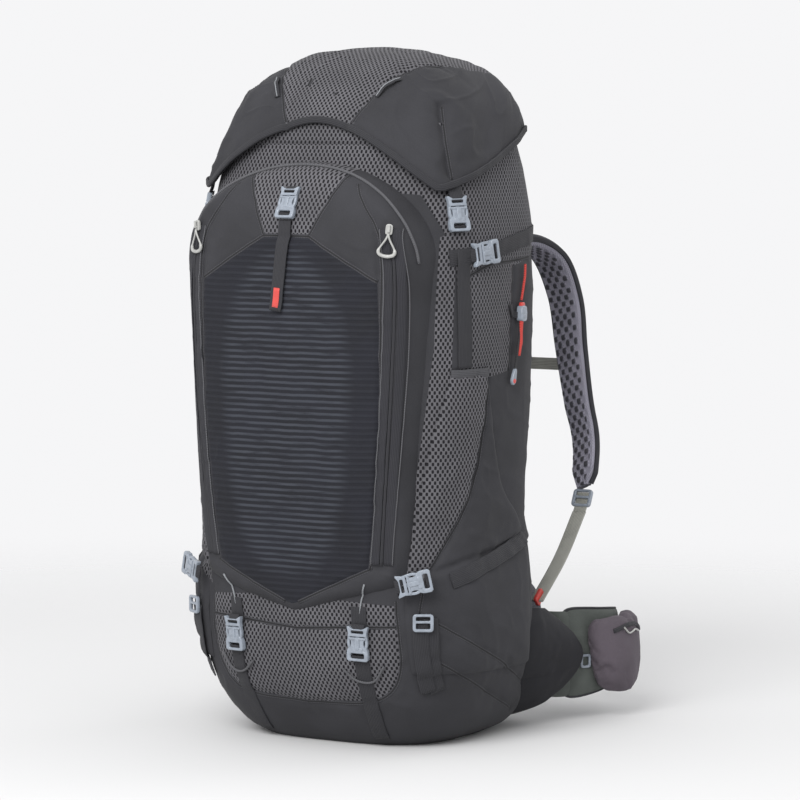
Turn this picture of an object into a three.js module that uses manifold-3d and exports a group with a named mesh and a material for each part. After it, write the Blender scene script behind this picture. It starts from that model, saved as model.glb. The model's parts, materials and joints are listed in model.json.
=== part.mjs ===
// A large internal-frame hiking backpack, standing on its base.
// Units are millimetres. +Z is up, -Y is the front (the side away from the wearer), +Y is the harness
// side, and +X is the wearer's right. The origin is on the flat patch that the pack stands on.
import * as THREE from "three";
import { mergeVertices } from "three/addons/utils/BufferGeometryUtils.js";
import Module from "manifold-3d";

const wasm = await Module();
wasm.setup();
const vector = (x, y, z) => new THREE.Vector3(x, y, z);

// ---------------------------------------------------------------- driving dimensions

const WALL = 6; // padded fabric wall of the main bag
const CLEARANCE = 0.5; // between neighbouring solids
const CORNER = 3.2; // superellipse exponent of every horizontal section
const AROUND = 40; // facets round a lofted body
const STEPS = 14; // and rows up it
const RIM_Z = 715; // top edge of the main bag
const COLLAR = { height: 40, wall: 3, gather: 8 };
const LID_FLOOR_Z = 764; // underside of the lid's pocket

// Horizontal sections, each { z, a: half width, f: reach to the front, b: reach to the back }.
const BAG = [
  { z: 0, a: 128, f: 78, b: 148 },
  { z: 12, a: 152, f: 94, b: 170 },
  { z: 35, a: 170, f: 110, b: 182 },
  { z: 70, a: 182, f: 134, b: 183 },
  { z: 120, a: 193, f: 149, b: 178 },
  { z: 190, a: 198, f: 154, b: 168 },
  { z: 300, a: 192, f: 146, b: 157 },
  { z: 430, a: 198, f: 140, b: 162 },
  { z: 560, a: 200, f: 134, b: 166 },
  { z: 650, a: 194, f: 126, b: 170 },
  { z: RIM_Z, a: 182, f: 114, b: 167 },
  { z: 766, a: 168, f: 100, b: 163 },
];
const POCKET = [
  { z: 150, a: 148, f: 156, b: 60 },
  { z: 200, a: 160, f: 166, b: 60 },
  { z: 300, a: 172, f: 175, b: 60 },
  { z: 400, a: 182, f: 178, b: 60 },
  { z: 500, a: 189, f: 179, b: 60 },
  { z: 580, a: 193, f: 178, b: 60 },
  { z: 640, a: 191, f: 175, b: 60 },
  { z: 690, a: 183, f: 160, b: 60 },
  { z: 745, a: 166, f: 126, b: 60 },
];
const LID = [
  { z: 692, a: 195, f: 132, b: 176 },
  { z: 730, a: 187, f: 121, b: 177 },
  { z: 766, a: 177, f: 108, b: 175 },
  { z: 800, a: 164, f: 90, b: 169 },
  { z: 828, a: 142, f: 66, b: 154 },
  { z: 850, a: 112, f: 38, b: 128 },
  { z: 864, a: 72, f: 4, b: 96 },
  { z: 870, a: 36, f: -22, b: 66 },
];
// The lid's hem: an arch across the front between two corners, then a rising edge along each side.
const HEM = { archZ: 778, cornerX: 160, cornerY: -76, cornerZ: 696, backY: 112, backZ: 766 };

const WEB = { width: 20, thick: 1.6 };
const BUCKLE = { width: 30, mouth: 21, depth: 19, length: 32, head: 14, thick: 9 };
const ZIP = { top: 650, foot: 430, topX: 140, footX: 121, lift: 3.6, channel: 13 };
const ROD = { radius: 3, halfWidth: 100, low: 70, high: 672, corner: 45, y: 136 };
const STRAP_ANCHOR = vector(56, 192, 588);
const STRAP_FOOT = vector(172, 146, 164);
const STERNUM = { y: 344, z: 455, scale: 0.62, webWidth: 16 };
const HIP = { y: 392, z: 93, scale: 1.5, webWidth: 38, webThick: 2.2 };

// ---------------------------------------------------------------- colours and materials

const material = (color, roughness, metalness = 0) =>
  new THREE.MeshStandardMaterial({ color, roughness, metalness });
const FABRIC = material(0x47474a, 0.85);
const STRETCH = material(0x35363c, 0.9);
const WEBBING = material(0x39393c, 0.8);
const OLIVE_WEBBING = material(0x77766c, 0.8);
const PADDING = material(0x77737f, 0.9);
const BELT_PADDING = material(0x6c7269, 0.9);
const BUCKLE_PLASTIC = material(0xb4bcc6, 0.45);
const PULL_PLASTIC = material(0xd6d8d8, 0.45);
const SHEET_PLASTIC = material(0x202226, 0.6);
const RED = material(0xc8453f, 0.6);
const ALUMINIUM = material(0xb9bcc0, 0.35, 0.9);

// ---------------------------------------------------------------- solids

function toSolid(geometry) {
  const bare = new THREE.BufferGeometry();
  bare.setAttribute("position", geometry.getAttribute("position"));
  if (geometry.index) bare.setIndex(geometry.index);
  const merged = mergeVertices(bare, 1e-3);
  const vertProperties = new Float32Array(merged.attributes.position.array);
  const triVerts = new Uint32Array(merged.index.array);
  return new wasm.Manifold(new wasm.Mesh({ numProp: 3, vertProperties, triVerts }));
}

function toGeometry(solid) {
  const mesh = solid.getMesh();
  const geometry = new THREE.BufferGeometry();
  geometry.setAttribute("position", new THREE.BufferAttribute(mesh.vertProperties, 3));
  geometry.setIndex(new THREE.BufferAttribute(mesh.triVerts, 1));
  geometry.computeVertexNormals();
  return geometry;
}

function block(x0, x1, y0, y1, z0, z1) {
  const geometry = new THREE.BoxGeometry(x1 - x0, y1 - y0, z1 - z0);
  geometry.translate((x0 + x1) / 2, (y0 + y1) / 2, (z0 + z1) / 2);
  return toSolid(geometry);
}

/** An outline in (x, y), extruded from one height to another. */
function plate(shape, bottom, top, curveSegments = 2) {
  const depth = top - bottom;
  const geometry = new THREE.ExtrudeGeometry(shape, { depth, bevelEnabled: false, curveSegments });
  geometry.translate(0, 0, bottom);
  return toSolid(geometry);
}

/** An outline seen from the front as (x, z), pushed through from y0 to y1. */
function frontCutter(shape, y0, y1, curveSegments = 8) {
  const depth = y1 - y0;
  const geometry = new THREE.ExtrudeGeometry(shape, { depth, bevelEnabled: false, curveSegments });
  geometry.rotateX(Math.PI / 2);
  geometry.translate(0, y1, 0);
  return toSolid(geometry);
}

/** An outline seen from the side as (y, z), pushed through from x0 to x1. */
function sideCutter(shape, x0, x1) {
  const geometry = new THREE.ExtrudeGeometry(shape, { depth: x1 - x0, bevelEnabled: false });
  geometry.rotateX(Math.PI / 2);
  geometry.rotateZ(Math.PI / 2);
  geometry.translate(x0, 0, 0);
  return toSolid(geometry);
}

const polygon = (points) => new THREE.Shape(points.map(([u, v]) => new THREE.Vector2(u, v)));

/** A rectangle from y0 to y1 with rounded corners. */
function rounded(width, y0, y1, radius) {
  const shape = new THREE.Shape();
  const x = width / 2 - radius;
  shape.absarc(x, y0 + radius, radius, -Math.PI / 2, 0);
  shape.absarc(x, y1 - radius, radius, 0, Math.PI / 2);
  shape.absarc(-x, y1 - radius, radius, Math.PI / 2, Math.PI);
  shape.absarc(-x, y0 + radius, radius, Math.PI, 1.5 * Math.PI);
  return shape;
}

/** Outline of a strip of the given width along a line of points. */
function strip(points, width) {
  const left = [];
  const right = [];
  points.forEach(([u, v], i) => {
    const [pu, pv] = points[Math.max(i - 1, 0)];
    const [nu, nv] = points[Math.min(i + 1, points.length - 1)];
    const scale = width / 2 / Math.hypot(nu - pu, nv - pv);
    left.push([u - (nv - pv) * scale, v + (nu - pu) * scale]);
    right.unshift([u + (nv - pv) * scale, v - (nu - pu) * scale]);
  });
  return polygon([...left, ...right]);
}

// ---------------------------------------------------------------- lofted bodies

/** Value of one column of a table of sections at height z, by a cubic through its rows. */
function along(sections, key, z) {
  let i = 0;
  while (i < sections.length - 2 && z > sections[i + 1].z) i++;
  const [p, q] = [sections[i], sections[i + 1]];
  const span = q.z - p.z;
  const t = THREE.MathUtils.clamp((z - p.z) / span, 0, 1);
  const slope = (s, e) => ((e[key] - s[key]) / (e.z - s.z)) * span;
  const start = slope(sections[Math.max(i - 1, 0)], q);
  const end = slope(p, sections[Math.min(i + 2, sections.length - 1)]);
  const rise = t * t * (3 - 2 * t);
  return p[key] + (q[key] - p[key]) * rise + t * (1 - t) * ((1 - t) * start - t * end);
}

const power = (value, exponent) => Math.sign(value) * Math.abs(value) ** exponent;

/** Point of a body's section at height z. The angle runs from +X towards +Y. */
function sectionPoint(sections, z, angle, grow = 0, fill = 1) {
  const a = along(sections, "a", z) + grow;
  const f = along(sections, "f", z) + grow;
  const b = along(sections, "b", z) + grow;
  const x = a * power(Math.cos(angle), 2 / CORNER) * fill;
  const y = (b - f) / 2 + ((b + f) / 2) * power(Math.sin(angle), 2 / CORNER) * fill;
  return vector(x, y, z);
}

/** Angle at which the front half of a section has the given x. */
function angleAtX(sections, z, x) {
  return -Math.acos(power(x / along(sections, "a", z), CORNER / 2));
}

/** Angle at which the right half of a section has the given y. */
function angleAtY(sections, z, y) {
  const f = along(sections, "f", z);
  const b = along(sections, "b", z);
  return Math.asin(power((2 * y - b + f) / (b + f), CORNER / 2));
}

/** A place on a body's skin: a point, the way out of it, the way up it and the way round it. */
function skin(sections, z, angle, lift) {
  const point = sectionPoint(sections, z, angle);
  const up = sectionPoint(sections, z + 1, angle).sub(point).normalize();
  const round = sectionPoint(sections, z, angle + 0.02).sub(point).normalize();
  const out = new THREE.Vector3().crossVectors(round, up).normalize();
  return { point: point.addScaledVector(out, lift), out, up, round };
}

/** A closed tube placed by place(angle, t, fill): t is 0 to 1 along it, fill 0 on its axis. around is in fours. */
function shapedTube(around, steps, place) {
  const geometry = new THREE.CylinderGeometry(1, 1, 1, around, steps);
  const position = geometry.getAttribute("position");
  const turn = (2 * Math.PI) / around;
  for (let i = 0; i < position.count; i++) {
    const fill = Math.hypot(position.getX(i), position.getZ(i)) > 0.5 ? 1 : 0;
    const facet = Math.round(Math.atan2(-position.getZ(i), position.getX(i)) / turn) + around;
    const angle = (facet % around) * turn;
    const t = Math.round((position.getY(i) + 0.5) * steps) / steps;
    const point = place(angle, t, fill);
    position.setXYZ(i, point.x, point.y, point.z);
  }
  return toSolid(geometry);
}

/** A body lofted through its sections from z0 to z1, and made fatter by grow. */
function loft(sections, z0, z1, grow = 0, steps = STEPS) {
  return shapedTube(AROUND, steps, (angle, t, fill) =>
    sectionPoint(sections, z0 + (z1 - z0) * t, angle, grow, fill),
  );
}

/** A layer of the given thickness that lies on the bag, cut to an outline by a cutter. */
function layerOnBag(cutter, inner, thickness) {
  const outside = loft(BAG, 0, RIM_Z, inner + thickness);
  return outside.subtract(loft(BAG, 0, RIM_Z, inner)).intersect(cutter);
}

// ---------------------------------------------------------------- the bag

function mainBag() {
  const cavity = loft(BAG, WALL, RIM_Z + 1, -WALL, 10);
  return loft(BAG, 0, RIM_Z).subtract(cavity);
}

function spindriftCollar() {
  const face = (shrink, z0, z1) => (angle, t, fill) => {
    const z = z0 + (z1 - z0) * t;
    const gather = COLLAR.gather * ((z - RIM_Z) / COLLAR.height);
    return sectionPoint(BAG, RIM_Z, angle, -1 - shrink - gather, fill).setZ(z);
  };
  const low = RIM_Z + CLEARANCE;
  const high = RIM_Z + COLLAR.height;
  const outer = shapedTube(AROUND, 3, face(0, low, high));
  return outer.subtract(shapedTube(AROUND, 3, face(COLLAR.wall, low - 1, high + 1)));
}

/** The front pocket from the front: an arched top, almost straight sides and a shallow V below. */
function pocketOutline() {
  const shape = new THREE.Shape();
  shape.moveTo(0, 172);
  shape.lineTo(148, 212);
  shape.lineTo(164, 470);
  shape.lineTo(169, 610);
  shape.bezierCurveTo(170, 680, 96, 731, 0, 731);
  shape.bezierCurveTo(-96, 731, -170, 680, -169, 610);
  shape.lineTo(-164, 470);
  shape.lineTo(-148, 212);
  return shape;
}


const sidePocketOutline = polygon([
  [-112, 100],
  [70, 66],
  [126, 88],
  [120, 258],
  [40, 330],
  [-6, 462],
  [-84, 466],
  [-106, 250],
]);

function sidePocket(sideX) {
  const layer = layerOnBag(sideCutter(sidePocketOutline, ...sideX), CLEARANCE, 5);
  return layer.subtract(loft(POCKET, 150, 745, CLEARANCE));
}

/** The space under the lid, which clears the bag's rim. */
function lidHollow(grow = 0) {
  return shapedTube(AROUND, 6, (angle, t, fill) =>
    sectionPoint(BAG, 640 + (LID_FLOOR_Z + grow - 640) * t, angle, 3 + grow, fill),
  );
}

function lid() {
  const arch = new THREE.Shape();
  arch.moveTo(-HEM.cornerX, 600);
  arch.lineTo(-HEM.cornerX, HEM.cornerZ);
  arch.quadraticCurveTo(0, 2 * HEM.archZ - HEM.cornerZ, HEM.cornerX, HEM.cornerZ);
  arch.lineTo(HEM.cornerX, 600);
  const sides = polygon([
    [HEM.cornerY - 1, 600],
    [HEM.cornerY - 1, HEM.cornerZ],
    [HEM.backY, HEM.backZ],
    [220, HEM.backZ],
    [220, 600],
  ]);
  const dome = loft(LID, LID[0].z, LID.at(-1).z, 0, 12).subtract(lidHollow());
  return dome.subtract(frontCutter(arch, -300, HEM.cornerY)).subtract(sideCutter(sides, -300, 300));
}

function haulLoop() {
  const web = new THREE.Shape();
  web.moveTo(-46, 171);
  web.lineTo(-40, 171);
  web.bezierCurveTo(-38, 208, 38, 208, 40, 171);
  web.lineTo(46, 171);
  web.bezierCurveTo(44, 214, -44, 214, -46, 171);
  return plate(web, 0, 20, 12);
}

// ---------------------------------------------------------------- compression straps

const sideStrapLine = [
  [-78, 616],
  [40, 628],
  [136, 640],
];
const lowerStrapLine = [
  [-98, 214],
  [0, 240],
  [130, 272],
];
const bagStrapLine = [
  [92, 132],
  [94, 76],
  [86, 24],
];

function sideStrap(line, sideX, lift) {
  return layerOnBag(sideCutter(strip(line, WEB.width), ...sideX), lift, WEB.thick);
}

function bagStrap(sign) {
  const line = bagStrapLine.map(([x, z]) => [sign * x, z]);
  return layerOnBag(frontCutter(strip(line, WEB.width), -300, 0), CLEARANCE, WEB.thick);
}

// ---------------------------------------------------------------- buckles

/** Socket half: its mouth is at y = 0, and it slides off the plug along +Y. */
function socketHalf() {
  const { width, mouth, depth, length, thick } = BUCKLE;
  const inside = block(-mouth / 2, mouth / 2, -1, depth, 2, thick - 2);
  return plate(rounded(width, 0, length, 4), 0, thick).subtract(inside);
}

/** Plug half: two prongs and a middle tongue reach into the socket. */
function plugHalf() {
  const { width, mouth, head, thick } = BUCKLE;
  const inside = mouth / 2 - CLEARANCE;
  return plate(rounded(width, -head, -CLEARANCE, 3), 0, thick)
    .add(block(-inside, -5, -1.5, 16.5, 2.6, thick - 2.6))
    .add(block(5, inside, -1.5, 16.5, 2.6, thick - 2.6))
    .add(block(-3, 3, -1.5, 12, 2.8, thick - 2.8));
}

function ladderLock() {
  return plate(rounded(28, 0, 24, 3), 0, 5)
    .subtract(block(-10, 10, 4, 6.6, -1, 6))
    .subtract(block(-10, 10, 15, 17.6, -1, 6));
}

/** Puts a mesh at a point with its Y along one direction and its Z as near as can be to another. */
function pose(mesh, point, slide, out, scale = 1) {
  const y = slide.clone().normalize();
  const z = out.clone().addScaledVector(y, -out.dot(y)).normalize();
  const x = new THREE.Vector3().crossVectors(y, z);
  mesh.quaternion.setFromRotationMatrix(new THREE.Matrix4().makeBasis(x, y, z));
  mesh.position.copy(point);
  mesh.scale.setScalar(scale);
  return mesh;
}

const mirror = (v, sign) => vector(v.x * sign, v.y, v.z);
const OVER_WEB = CLEARANCE + WEB.thick + 0.4;

/** Where two halves of a buckle meet on a body, with the socket's way off given as (round, up). */
function buckleSeat(sections, z, angle, lift, round, up) {
  const place = skin(sections, z, angle, lift);
  const slide = place.round.multiplyScalar(round).addScaledVector(place.up, up);
  return { point: place.point, slide, out: place.out };
}

const BUCKLES = {
  lid: { seat: buckleSeat(BAG, 674, angleAtY(BAG, 674, -68), 6, 0.06, -1), scale: 0.96 },
  side: { seat: buckleSeat(BAG, 617, angleAtY(BAG, 617, -41), OVER_WEB, 1, 0.1), scale: 1 },
  lower: { seat: buckleSeat(BAG, 214, angleAtX(BAG, 214, 148), OVER_WEB + 14, 1, 0.22), scale: 0.95 },
  bag: { seat: buckleSeat(BAG, 148, angleAtX(BAG, 148, 91), OVER_WEB, 0, -1), scale: 0.95 },
};
const FRONT_BUCKLE = { seat: buckleSeat(POCKET, 686, -Math.PI / 2, 1.4, 0, -1), scale: 0.9 };

// ---------------------------------------------------------------- zips

/** The zip lines run down the front pocket and lean in towards their feet. */
function zipPoint(z) {
  const x = THREE.MathUtils.mapLinear(z, ZIP.foot, ZIP.top, ZIP.footX, ZIP.topX);
  return skin(POCKET, z, angleAtX(POCKET, z, x), ZIP.lift);
}

function zipSeat() {
  const top = zipPoint(ZIP.top);
  return { point: top.point, slide: zipPoint(ZIP.foot).point.sub(top.point), out: top.out };
}

function zipSlider() {
  return block(-4.5, 4.5, -6, 7, -1.6, 1.6)
    .add(block(-1.6, 1.6, -5, 4, 1.4, 5))
    .subtract(block(-3, 3, -3, 1.6, 2.4, 3.8));
}

/** The straight channel in the pocket that a zip's slider runs down. */
function zipChannel(sign) {
  const { point, slide, out } = zipSeat();
  const half = ZIP.channel / 2;
  const room = block(-half, half, -9, slide.length() + 12, -2.1, 20);
  const place = pose(new THREE.Mesh(toGeometry(room)), mirror(point, sign), mirror(slide, sign), mirror(out, sign));
  place.updateMatrixWorld();
  return toSolid(place.geometry.applyMatrix4(place.matrixWorld));
}

function frontPocket() {
  const stuffed = loft(POCKET, 150, 745).intersect(frontCutter(pocketOutline(), -300, -40));
  const hollow = stuffed.subtract(loft(BAG, 0, RIM_Z, CLEARANCE)).subtract(lidHollow(-3));
  return hollow.subtract(zipChannel(1)).subtract(zipChannel(-1));
}

/** A teardrop pull: its narrow head is beside the slider's bridge, and it widens below. */
function zipPull() {
  const drop = new THREE.Shape();
  drop.moveTo(-2.4, 4.6);
  drop.lineTo(2.4, 4.6);
  drop.absarc(0, 26.5, 8.6, -0.3, Math.PI + 0.3);
  return plate(drop, 2.2, 5, 5);
}

// ---------------------------------------------------------------- frame, back and pole keeper

/** One rod bent into an upside-down U. */
function frameRod() {
  const { radius, halfWidth: x, low, high, corner, y } = ROD;
  const path = new THREE.CurvePath();
  const bend = (sign, from, to) =>
    path.add(new THREE.QuadraticBezierCurve3(from, vector(sign * x, y, high), to));
  const shoulder = (sign) => vector(sign * x, y, high - corner);
  const brow = (sign) => vector(sign * (x - corner), y, high);
  path.add(new THREE.LineCurve3(vector(-x, y, low), shoulder(-1)));
  bend(-1, shoulder(-1), brow(-1));
  path.add(new THREE.LineCurve3(brow(-1), brow(1)));
  bend(1, brow(1), shoulder(1));
  path.add(new THREE.LineCurve3(shoulder(1), vector(x, y, low)));
  const section = new THREE.Shape().absarc(0, 0, radius, 0, 2 * Math.PI);
  const options = { steps: 56, extrudePath: path, curveSegments: 5, bevelEnabled: false };
  return toSolid(new THREE.ExtrudeGeometry(section, options));
}

/** A pad with rounded edges that is fitted to the bag's back. */
function backPad(width, z0, z1, thickY) {
  const [y0, middle] = [130, (z0 + z1) / 2];
  const pad = shapedTube(32, 5, (angle, t, fill) => {
    const bulge = (Math.PI / 2) * t;
    const size = fill * (1 - 0.1 * (1 - Math.cos(bulge)));
    const x = (-width / 2) * power(Math.cos(angle), 0.5) * size;
    const z = middle + ((z1 - z0) / 2) * power(Math.sin(angle), 0.5) * size;
    return vector(x, y0 + (thickY - y0) * Math.sin(bulge), z);
  });
  return pad.subtract(loft(BAG, 0, RIM_Z, CLEARANCE));
}

/** The cord lock holds a bungee on the bag's side, and its button is pressed in from above. */
const keeperSeat = buckleSeat(BAG, 540, angleAtY(BAG, 540, 50), 1, 0, 1);

function keeperLock() {
  return plate(rounded(15, -10, 9, 4), 0, 9).subtract(block(-4.4, 4.4, -4, 10, 1.4, 7.6));
}

function keeperButton() {
  return block(-4, 4, -0.6, 14, 1.8, 7.2);
}

/** The route of the thin cord that hangs from the keeper's lock. */
const keeperCordRoute = [
  vector(204.5, 47, 529.5),
  vector(205.5, 43, 510),
  vector(206, 37, 488),
  vector(205, 32, 466),
];

function keeperCord() {
  const path = new THREE.CatmullRomCurve3(keeperCordRoute);
  const section = new THREE.Shape().absarc(0, 0, 1.5, 0, 2 * Math.PI);
  const options = { steps: 10, extrudePath: path, curveSegments: 4, bevelEnabled: false };
  return toSolid(new THREE.ExtrudeGeometry(section, options));
}

// ---------------------------------------------------------------- harness

/** A band swept along points, where frame(t) gives its width, thickness, width direction and squareness. */
function band(points, around, steps, frame) {
  const curve = new THREE.CatmullRomCurve3(points, false, "centripetal");
  return shapedTube(around, steps, (angle, t, fill) => {
    const { width, thick, across, box } = frame(t);
    const tangent = curve.getTangent(t);
    const side = across.clone().addScaledVector(tangent, -across.dot(tangent)).normalize();
    const face = new THREE.Vector3().crossVectors(tangent, side);
    const u = (width / 2) * power(Math.cos(angle), 2 / box) * fill;
    const v = (thick / 2) * power(Math.sin(angle), 2 / box) * fill;
    return curve.getPoint(t).addScaledVector(side, u).addScaledVector(face, v);
  });
}

/** Flat webbing along points: four corners, so its section is a rectangle. */
function webbing(points, width, thick, across, steps = 6) {
  const curve = new THREE.CatmullRomCurve3(points, false, "centripetal");
  return shapedTube(4, steps, (angle, t, fill) => {
    const tangent = curve.getTangent(t);
    const side = across.clone().addScaledVector(tangent, -across.dot(tangent)).normalize();
    const face = new THREE.Vector3().crossVectors(tangent, side);
    const u = (width / 2) * Math.sign(Math.cos(angle + 0.1)) * fill;
    const v = (thick / 2) * Math.sign(Math.sin(angle + 0.1)) * fill;
    return curve.getPoint(t).addScaledVector(side, u).addScaledVector(face, v);
  });
}

/** 1 along most of a band, falling to low at its two ends. */
const tapered = (t, low, rate) => Math.min(1, low + rate * Math.min(t, 1 - t));

const strapPath = [
  STRAP_ANCHOR,
  vector(62, 214, 614),
  vector(74, 266, 624),
  vector(90, 318, 600),
  vector(104, 338, 545),
  vector(117, 332, 478),
  vector(133, 322, 415),
  vector(150, 313, 362),
  vector(160, 296, 322),
  vector(164, 284, 300),
];

function shoulderStrap(sign) {
  const points = strapPath.map((p) => mirror(p, sign));
  return band(points, 12, 24, (t) => ({
    width: THREE.MathUtils.lerp(70, 46, t) * tapered(t, 0.6, 4),
    thick: 15 * tapered(t, 0.4, 5),
    across: vector(sign * Math.cos(0.1 + 0.45 * t), -Math.sin(0.1 + 0.45 * t), 0),
    box: 3,
  }));
}

function strapWebbing(sign) {
  const points = [vector(166, 268, 268), vector(169, 214, 214), STRAP_FOOT].map((p) => mirror(p, sign));
  return webbing(points, WEB.width, WEB.thick, vector(1, 0, 0));
}

const wingPath = [
  vector(171, 212, 88),
  vector(188, 236, 89),
  vector(198, 270, 90),
  vector(192, 312, 91),
  vector(168, 349, 92),
  vector(132, 376, 93),
];

function hipWing(sign, grow = 0) {
  const points = wingPath.map((p) => mirror(p, sign));
  return band(points, 16, 16, (t) => ({
    width: THREE.MathUtils.lerp(120, 66, t ** 1.6) * tapered(t, 0.75, 4) + grow,
    thick: 15 * tapered(t, 0.5, 4) + grow,
    across: vector(0, 0, 1),
    box: 3,
  }));
}

/** A zipped pocket on the outside of the wing. */
function hipPocket(sign) {
  const points = [vector(204, 232, 92), vector(216, 268, 93), vector(210, 316, 94), vector(190, 348, 95)];
  const pouch = band(points.map((p) => mirror(p, sign)), 16, 10, (t) => ({
    width: 92 * tapered(t, 0.72, 3),
    thick: 26 * tapered(t, 0.35, 4),
    across: vector(0, 0, 1),
    box: 3,
  }));
  return pouch.subtract(hipWing(sign, 2 * CLEARANCE));
}

// ---------------------------------------------------------------- assembly

const pack = new THREE.Group();

function add(name, solid, look) {
  const mesh = new THREE.Mesh(toGeometry(solid), look);
  mesh.name = name;
  pack.add(mesh);
  return mesh;
}

function addBuckle(name, { seat, scale }, sign = 1) {
  const place = [mirror(seat.point, sign), mirror(seat.slide, sign), mirror(seat.out, sign), scale];
  pose(add(`${name}_plug`, plugHalf(), BUCKLE_PLASTIC), ...place);
  pose(add(`${name}_socket`, socketHalf(), BUCKLE_PLASTIC), ...place);
}

function addZip(side, sign) {
  const { point, slide, out } = zipSeat();
  const place = [mirror(point, sign), mirror(slide, sign), mirror(out, sign)];
  pose(add(`zip_slider_${side}`, zipSlider(), PULL_PLASTIC), ...place);
  pose(add(`zip_pull_${side}`, zipPull(), PULL_PLASTIC), ...place);
}

function addSide(side, sign) {
  const sideX = sign > 0 ? [30, 300] : [-300, -30];
  add(`side_pocket_${side}`, sidePocket(sideX), STRETCH);
  add(`side_strap_${side}`, sideStrap(sideStrapLine, sideX, CLEARANCE), WEBBING);
  add(`lower_strap_${side}`, sideStrap(lowerStrapLine, sideX, 6 + CLEARANCE), WEBBING);
  add(`bag_strap_${side}`, bagStrap(sign), WEBBING);
  for (const name of ["lid", "side", "lower", "bag"]) addBuckle(`${name}_buckle_${side}`, BUCKLES[name], sign);
  addZip(side, sign);
}

function addShoulder(side, sign) {
  add(`shoulder_strap_${side}`, shoulderStrap(sign), PADDING);
  add(`strap_webbing_${side}`, strapWebbing(sign), OLIVE_WEBBING);
  const lock = add(`strap_adjuster_${side}`, ladderLock(), BUCKLE_PLASTIC);
  pose(lock, mirror(vector(164, 282, 297), sign), vector(0, -0.45, -1), vector(0, 1, -0.45));
}

function addHip(side, sign) {
  add(`hip_wing_${side}`, hipWing(sign), BELT_PADDING);
  add(`hip_pocket_${side}`, hipPocket(sign), FABRIC);
}

/** A strap across the middle: webbing from each side, and a plug on the right that enters a socket. */
function addCrossing(name, { y, z, scale, webWidth, webThick = WEB.thick }, reach) {
  const seat = { point: vector(2, y, z), slide: vector(-1, 0, 0), out: vector(0, 1, 0) };
  addBuckle(`${name}_buckle`, { seat, scale });
  const behind = y - CLEARANCE - webThick / 2;
  for (const [side, sign] of [["right", 1], ["left", -1]]) {
    const points = [vector(reach.x, reach.y, z), vector(36 * scale, behind, z), vector(6 * scale, behind, z)];
    const strap = webbing(points.map((p) => mirror(p, sign)), webWidth, webThick, vector(0, 0, 1), 4);
    add(`${name}_webbing_${side}`, strap, WEBBING);
  }
}

add("main_bag", mainBag(), FABRIC);
add("spindrift_collar", spindriftCollar(), FABRIC);
add("front_pocket", frontPocket(), STRETCH);
add("lid", lid(), FABRIC);
const framesheet = add("framesheet", plate(rounded(210, 60, 680, 30), 0, 3, 3), SHEET_PLASTIC);
framesheet.rotation.x = Math.PI / 2;
framesheet.position.y = 129;
add("frame_rod", frameRod(), ALUMINIUM);
add("back_panel", backPad(236, 232, 562, 184), PADDING);
add("lumbar_pad", backPad(320, 26, 204, 204), PADDING);
add("haul_loop", haulLoop(), WEBBING).position.z = 684;
addBuckle("front_buckle", FRONT_BUCKLE);
pose(add("keeper_lock", keeperLock(), SHEET_PLASTIC), keeperSeat.point, keeperSeat.slide, keeperSeat.out);
pose(add("keeper_button", keeperButton(), RED), keeperSeat.point, keeperSeat.slide, keeperSeat.out);
add("keeper_cord", keeperCord(), WEBBING);
for (const [side, sign] of [["right", 1], ["left", -1]]) {
  addSide(side, sign);
  addShoulder(side, sign);
  addHip(side, sign);
}
addCrossing("sternum", STERNUM, { x: 88, y: 341 });
addCrossing("hip", HIP, { x: 122, y: 386 });

export default pack;
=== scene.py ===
"""The looks of the hiking backpack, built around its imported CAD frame.

Metres, +Z up, +X the wearer's right, +Y from the front pocket to the harness.
"""

import json
import math

import bmesh
import bpy
import numpy as np
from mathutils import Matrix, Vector
from mathutils.bvhtree import BVHTree


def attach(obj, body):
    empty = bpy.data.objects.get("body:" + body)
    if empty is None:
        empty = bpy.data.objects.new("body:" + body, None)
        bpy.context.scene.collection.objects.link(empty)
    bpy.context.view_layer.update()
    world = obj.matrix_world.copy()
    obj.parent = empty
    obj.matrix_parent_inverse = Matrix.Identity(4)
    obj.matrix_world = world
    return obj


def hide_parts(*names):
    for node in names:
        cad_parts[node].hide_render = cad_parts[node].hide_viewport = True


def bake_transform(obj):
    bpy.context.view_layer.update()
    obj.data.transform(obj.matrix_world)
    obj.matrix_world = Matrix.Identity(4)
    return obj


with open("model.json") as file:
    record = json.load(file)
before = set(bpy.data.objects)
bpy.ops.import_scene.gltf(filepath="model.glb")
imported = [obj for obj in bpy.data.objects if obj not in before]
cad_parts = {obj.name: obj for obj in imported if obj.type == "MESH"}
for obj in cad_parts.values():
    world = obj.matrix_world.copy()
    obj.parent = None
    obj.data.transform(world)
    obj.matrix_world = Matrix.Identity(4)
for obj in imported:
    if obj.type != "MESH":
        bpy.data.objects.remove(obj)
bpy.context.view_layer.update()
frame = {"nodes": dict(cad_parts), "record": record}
body_of_node = {n: body for body, nodes in frame["record"]["behaviour"]["bodies"].items() for n in nodes}

MM = 0.001
SIDES = (("right", 1), ("left", -1))


# ---------------------------------------------------------------- camera

CAMERA = {"azimuth": 32, "elevation": 4.5, "distance": 5.0, "lens": 177}
AIM = Vector((0.041, 0.025, 0.426))


def add_camera():
    """A long lens that looks at the front and the right side from a little above."""
    data = bpy.data.cameras.new("camera")
    data.lens = CAMERA["lens"]
    camera = bpy.data.objects.new("camera", data)
    a, e = math.radians(CAMERA["azimuth"]), math.radians(CAMERA["elevation"])
    away = Vector((math.sin(a) * math.cos(e), -math.cos(a) * math.cos(e), math.sin(e)))
    camera.location = AIM + away * CAMERA["distance"]
    camera.rotation_euler = away.to_track_quat("Z", "Y").to_euler()
    bpy.context.collection.objects.link(camera)
    bpy.context.scene.camera = camera


add_camera()


# ---------------------------------------------------------------- materials


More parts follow.
